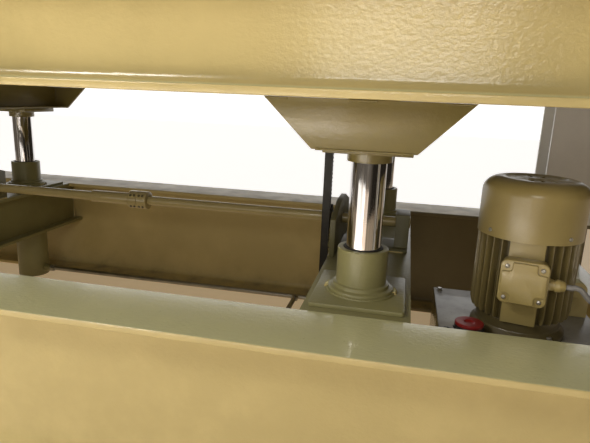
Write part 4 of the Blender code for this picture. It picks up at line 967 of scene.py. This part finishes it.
def make_cowl():
    """The pressed fan cowl: a shouldered drum with a dished, slotted crown."""
    low, high = 0.613, 0.744
    radius, crown, wall, steps = 0.1160, 0.0780, 0.0020, 9
    shoulder = high - 0.034
    outer = [(radius, low), (radius, shoulder)]
    for angle in (QUARTER * i / steps for i in range(1, steps)):
        outer.append((crown + (radius - crown) * math.cos(angle),
                      shoulder + (high - shoulder) * math.sin(angle)))
    outer += [(crown, high), (0.0700, high), (0.0655, high - 0.0030), (0.0200, high - 0.0030),
              (0.0160, high - 0.0010), (0, high - 0.0010)]
    inner = [(radius - wall, low), (radius - wall, shoulder)]
    inner += [(max(0, r - wall) if z < high - 0.010 else r, z - wall if z > shoulder else z)
              for r, z in outer[2:]]
    cowl = shape("motor_fan_cowl", turned(outer[::-1] + inner), "motor enamel", 40)
    count = sizes().cowl_slots
    slot = box_outline((0.0240, -0.0042), (0.0620, 0.0042), 0.004)
    cuts = [moved(prism(slot, "Z", high - 0.012, high + 0.004), turn=FULL * i / count) for i in range(count)]
    cutter = shape("cowl_cutter", joined(*cuts), "motor enamel")
    step = cowl.modifiers.new("slots", "BOOLEAN")
    step.operation, step.solver, step.object = "DIFFERENCE", "EXACT", cutter
    bpy.context.view_layer.update()
    mesh = bpy.data.meshes.new_from_object(cowl.evaluated_get(bpy.context.evaluated_depsgraph_get()))
    cowl.modifiers.remove(step)
    bpy.data.objects.remove(cutter)
    mesh.transform(Matrix.Translation(MOTOR_AXIS) @ Matrix.Rotation(MOTOR_TURN, 4, "Z"))
    mesh.set_sharp_from_angle(angle=math.radians(40))
    cowl.data = mesh
    settle(cowl, "frame", "fan_cowl")
    ways = [polar(1, motor_corner(i)) for i in range(4)]
    spots = [(MOTOR_AXIS + way * radius + Vector((0, 0, low + 0.014)), way) for way in ways]
    repeated("cowl_screws", slotted_head(0.0046, 0.0026), spots, "zinc")


def box_place(x, depth, z):
    """A point given across, out of and up the terminal box's face."""
    return MOTOR_AXIS + MOTOR_SPIN @ Vector((x, -depth, z))


def make_terminal_box():
    half, face = 0.046, 0.1063

    def slab(width, corner, near, far):
        outline = box_outline((-width, TERMINAL_Z - width), (width, TERMINAL_Z + width), corner)
        return prism(outline, "Y", -far, -near)

    base = bevelled(slab(half, 0.012, face, face + 0.034), 0.0012)
    piece("terminal_box_body", moved(base, MOTOR_AXIS, MOTOR_TURN), "frame", "motor enamel", "terminal_box")
    seat, wide = face + 0.0343, half + 0.003
    inner = wide - 0.0035
    notch = inner - 0.0205
    raised = []
    for sx, sz in ((-1, -1), (1, -1), (1, 1), (-1, 1)):
        corner = [(sx * inner, sz * notch, 0.003), (sx * notch, sz * notch, 0.0075),
                  (sx * notch, sz * inner, 0.003)]
        raised += corner if sx * sz > 0 else corner[::-1]
    outline = eased([(a, b + TERMINAL_Z, radius) for a, b, radius in raised])
    panel = prism(outline, "Y", -seat - 0.0158, -seat - 0.0080)
    cover = joined(bevelled(slab(wide, 0.014, seat, seat + 0.0090), 0.0026, 3), bevelled(panel, 0.0022, 3))
    piece("terminal_box_cover", moved(cover, MOTOR_AXIS, MOTOR_TURN), "frame", "motor enamel", "terminal_lid")
    outward, reach = MOTOR_SPIN @ Vector((0, -1, 0)), 0.0355
    spots = [(box_place(x * reach, seat + 0.0090, TERMINAL_Z + z * reach), outward, 0.4 + x + z)
             for x in (-1, 1) for z in (-1, 1)]
    repeated("cover_screws", slotted_head(sizes().screw_radius, 0.0034), spots, "zinc")
    start = box_place(*GLAND_PLACE)
    body = eased([(0, 0), (0.0125, 0), (0.0125, 0.012, 0.0008), (0.0118, 0.012), (0.0118, 0.016),
                  (0.0140, 0.016, 0.0006), (0.0140, 0.025, 0.003), (0.0095, 0.037, 0.003),
                  (0.0064, 0.038, 0.0006), (0, 0.038)], 3)
    nut = moved(turned([(0, 0), (0.0150, 0.0006), (0.0150, 0.0066), (0, 0.0072)], "X", 6), (0.001, 0, 0))
    gland = joined(*(moved(part, start, MOTOR_TURN) for part in (turned(body, "X", 48), nut)))
    piece("lead_gland", gland, "frame", "motor enamel", "cable_gland")


def lead_points():
    """The lead's own route, as in the part's source: from the gland's tip to the junction box."""
    way = MOTOR_SPIN @ Vector((1, 0, 0))
    start = box_place(*GLAND_PLACE) + way * 0.0383
    end = Vector((1.4967, -0.5537, 0.5883))
    route = [start, start + way * 0.012, start + way * 0.026, start + Vector((0.075, -0.014, -0.030)),
             *(end + Vector(back) for back in ((-0.070, 0.004, -0.020), (-0.026, 0, 0), (-0.012, 0, 0))), end]
    ends = [2 * route[0] - route[1]] + route + [2 * route[-1] - route[-2]]
    points = [route[0]]
    for before, a, b, after in zip(ends, ends[1:], ends[2:], ends[3:]):
        count = max(1, round((b - a).length / 0.006))
        for i in range(1, count + 1):
            t = i / count
            points.append(((2 * a) + (b - before) * t + (2 * before - 5 * a + 4 * b - after) * t ** 2
                           + (3 * a - before - 3 * b + after) * t ** 3) / 2)
    return points


def make_lead():
    points = lead_points()
    curve = bpy.data.curves.new("motor_supply_lead", "CURVE")
    curve.dimensions = "3D"
    curve.bevel_depth = 0.006
    curve.bevel_resolution = 6
    curve.use_fill_caps = True
    spline = curve.splines.new("POLY")
    spline.points.add(len(points) - 1)
    for point, place in zip(spline.points, points):
        point.co = (*place, 1)
    curve.materials.append(skin("lead sheath"))
    lead = settle(placed("motor_supply_lead", curve), "frame", "motor_lead")


def make_junction_box():
    low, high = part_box("junction_box")
    middle = (low + high) / 2
    shell = prism(box_outline((low.x, low.z), (high.x, high.z), 0.012), "Y", low.y, high.y)
    shell = bevelled(shell, 0.0025, 3)
    piece("junction_box_shell", shell, "frame", "motor enamel", "junction_box")
    spots = [((middle.x + x, high.y, middle.z + z), (0, 1, 0)) for x in (-0.038, 0.038)
             for z in (-0.048, 0.048)]
    repeated("junction_screws", slotted_head(0.0042, 0.0026), spots, "zinc")


def make_oil_lines():
    for row, y in zip(ROWS, (-1, 1)):
        low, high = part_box(f"oil_line_{row}")
        tube = eased([(0, low.x), (0.0100, low.x, 0.0008), (0.0100, high.x, 0.0008), (0, high.x)], 3)
        at = (0, y * RAM_Y, LINE_Z)
        lathe(f"{row}_oil_line", tube, at, "frame", "line steel", f"oil_line_{row}", axis="X", steps=32)
    redressed("oil_line_manifold", "branched_oil_line", "frame", "line steel", 0.0004, 1)
    spots = [((x * (RAM_X - 0.0668 - 0.030), y * RAM_Y, LINE_Z), (-x, 0, 0)) for _, x, y in CORNERS]
    spots += [((0.480, y * (RAM_Y - 0.0103), LINE_Z), (0, -y, 0)) for y in (-1, 1)]
    repeated("line_nuts", hex_head(0.0165, 0.0170), spots, "line steel")


def make_welds():
    """Fillet welds of the frame and of the lift beams."""
    runs = []

    def run(start, stop):
        runs.append(([start, stop], False))

    def level_run(x, reach, y, z):
        run((x - reach, y, z), (x + reach, y, z))

    inner = BEAM_Y - BEAM_HALF - 0.0002
    for x in (-RAM_X, RAM_X):
        for y in (-inner, inner):
            level_run(x, PLATE_HALF, y, BASE_TOP - 0.0002 - 0.017)
        for y in (-1, 1):
            for end in (x - 0.0810, x + 0.0810):
                run((end, y * 0.664, 0.262), (end, y * 0.672, 0.410))
        for y in (-0.064, 0.064):
            level_run(x, 0.096, y, BASE_TOP + 0.0005)
        near = x - math.copysign(0.1172, x)
        run((near, -0.176, BASE_TOP + 0.0008), (near, 0.176, BASE_TOP + 0.0008))
    welded("frame_welds", runs, "frame")
    runs.clear()
    for x in (-RAM_X, RAM_X):
        for y in (-1, 1):
            edge, outer = y * (RAM_Y + 0.188 - 0.0003), y * (RAM_Y + 0.2003)
            for end in (x - 0.041, x + 0.041):
                run((end, edge, 0.818), (end, edge, 0.900))
            level_run(x, 0.092, outer, 0.8078)
            for start, stop in ((-0.193, -0.150), (-0.033, 0.020), (0.143, 0.185)):
                run((x + start, outer, 0.9008), (x + stop, outer, 0.9008))
    welded("lift_welds", runs, "platen", 0.0022, finish="lift enamel")


# The stage

def view_axes(stage):
    yaw, pitch, roll = stage.yaw, stage.pitch, stage.roll
    ahead = Vector((-math.sin(yaw) * math.cos(pitch), math.cos(yaw) * math.cos(pitch), -math.sin(pitch)))
    level = Vector((math.cos(yaw), math.sin(yaw), 0))
    above = level.cross(ahead)
    right = level * math.cos(roll) + above * math.sin(roll)
    up = above * math.cos(roll) - level * math.sin(roll)
    return right, up, ahead


def lamp(name, at, target, size, power, tint, spread=180):
    data = bpy.data.lights.new(name, "AREA")
    data.spread = math.radians(spread)
    data.shape = "RECTANGLE"
    data.size, data.size_y = size
    data.energy = power
    data.color = tint
    obj = placed(name, data)
    obj.location = at
    obj.rotation_euler = (Vector(target) - Vector(at)).to_track_quat("-Z", "Y").to_euler()


def make_camera(scene, stage):
    data = bpy.data.cameras.new("photo_view")
    data.lens = stage.lens
    data.sensor_width = 36
    data.clip_start, data.clip_end = 0.05, 60
    right, up, ahead = view_axes(stage)
    camera = placed("photo_view", data)
    turn = Matrix((right, up, -ahead)).transposed().to_4x4()
    camera.matrix_world = Matrix.Translation(CAMERA_PLACE) @ turn
    scene.camera = camera


def make_surround(scene, stage):
    """A pale sky that is brightest behind the press, and dim to its sides and in front."""
    world = bpy.data.worlds.new("pale surround")
    world.use_nodes = True
    graph = Graph(world.node_tree)
    way = graph.node("ShaderNodeTexCoord", output="Generated")
    across, behind, above = (graph.part(way, axis) for axis in "XYZ")
    bright = graph.blend(graph.between(above, 0.15, 0.95), (1.25, 1.23, 1.20), (0.42, 0.40, 0.36))
    dim = graph.blend(graph.between(across, 0.25, 0.60), (0.13, 0.11, 0.085), (0.022, 0.018, 0.013))
    shade = graph.blend(graph.between(behind - across * 0.28, 0.74, 0.84), dim, bright)
    sky = world.node_tree.nodes["Background"]
    world.node_tree.links.new(shade.socket, sky.inputs["Color"])
    sky.inputs["Strength"].default_value = stage.sky
    scene.world = world


def make_stage():
    scene = bpy.context.scene
    stage = scene.press_stage
    make_camera(scene, stage)
    bm = prism(box_outline((-FLOOR_HALF, -FLOOR_HALF), (FLOOR_HALF, FLOOR_HALF)), "Z", -0.02, -0.0005)
    mesh = bpy.data.meshes.new("studio_floor")
    bm.to_mesh(mesh)
    bm.free()
    mesh.materials.append(stage_floor("studio floor"))
    floor = placed("studio_floor", mesh)
    make_surround(scene, stage)
    white, warm = colours().light, (1.0, 0.80, 0.62)
    lamp("key_lamp", (-1.3, -2.6, 2.7), (-0.05, -0.6, 0.6), (1.1, 0.6), stage.key_power, white)
    lamp("low_card", (-0.45, -2.2, 0.46), (0.1, -0.7, 0.40), (2.0, 0.80), stage.low_power, white)
    lamp("near_card", (0.70, -3.2, 0.46), (0.815, -0.445, 0.6), (1.6, 0.80), stage.low_power * 0.5, warm)
    lamp("floor_lamp", (-0.9, -3.7, 1.8), (-0.9, -3.7, 0.0), (3.0, 1.6), stage.floor_power, white, 80)
    lamp("fill_lamp", (0.85, -3.4, 1.62), (0.8, -0.7, 0.8), (1.2, 0.40), stage.fill_power, white)
    scene.view_settings.view_transform = "Standard"


# Operators, panel and registration

def operator(work, label, text):
    """An operator class that runs one making function."""
    def execute(self, context):
        work()
        return {"FINISHED"}
    key = work.__name__.removeprefix("make_")
    return type(f"PRESS_OT_{key}", (bpy.types.Operator,), {
        "bl_idname": f"press.{key}", "bl_label": label, "__doc__": text, "execute": execute,
        "bl_options": {"REGISTER", "UNDO"}})


OPERATORS = [
    operator(make_stage, "Stage", "Make the floor, the lamps, the surround and the camera"),
    operator(make_lead, "Motor lead", "Make the motor's lead on its route"),
    operator(make_beams, "Beams", "Make the rolled beams, cross beams and uprights"),
    operator(make_platens, "Platens", "Make both platens and the lift beams"),
    operator(make_rams, "Rams", "Make the cylinders, wipers, rods and rod heads"),
    operator(make_levelling, "Levelling gear", "Make the racks, pinions, shaft, coupling and stands"),
    operator(make_tank, "Oil tank", "Make the tank, its lid, the filler and the valve"),
    operator(make_motor, "Motor", "Make the motor's shield, housing, fins, cowl and fan"),
    operator(make_terminal_box, "Terminal box", "Make the terminal box, its cover and the gland"),
    operator(make_junction_box, "Junction box", "Make the junction box on the upright"),
    operator(make_oil_lines, "Oil lines", "Make the oil lines and their nuts"),
    operator(make_welds, "Welds", "Make the fillet welds"),
]


class PRESS_PT_looks(bpy.types.Panel):
    bl_idname = "PRESS_PT_looks"
    bl_label = "Panel press"
    bl_space_type = "VIEW_3D"
    bl_region_type = "UI"
    bl_category = "Press"

    def draw(self, context):
        for made in OPERATORS:
            self.layout.operator(made.bl_idname)
        for group in (context.scene.press_sizes, context.scene.press_colours, context.scene.press_stage):
            box = self.layout.box()
            for key in group.bl_rna.properties.keys():
                if key not in ("rna_type", "name"):
                    box.prop(group, key)


GROUPS = {"press_sizes": PressSizes, "press_colours": PressColours, "press_stage": PressStage}


def register():
    for made in (*GROUPS.values(), *OPERATORS, PRESS_PT_looks):
        bpy.utils.register_class(made)
    for key, group in GROUPS.items():
        setattr(bpy.types.Scene, key, PointerProperty(type=group))


def unregister():
    for key in GROUPS:
        delattr(bpy.types.Scene, key)
    for made in (PRESS_PT_looks, *reversed(OPERATORS), *reversed(GROUPS.values())):
        bpy.utils.unregister_class(made)


def main():
    register()
    for made in OPERATORS:
        call = getattr(bpy.ops.press, made.bl_idname.split(".")[1])
        if call() != {"FINISHED"}:
            raise RuntimeError(f"{made.bl_label} wasn't made")
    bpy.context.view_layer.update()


if __name__ == "__main__":
    main()
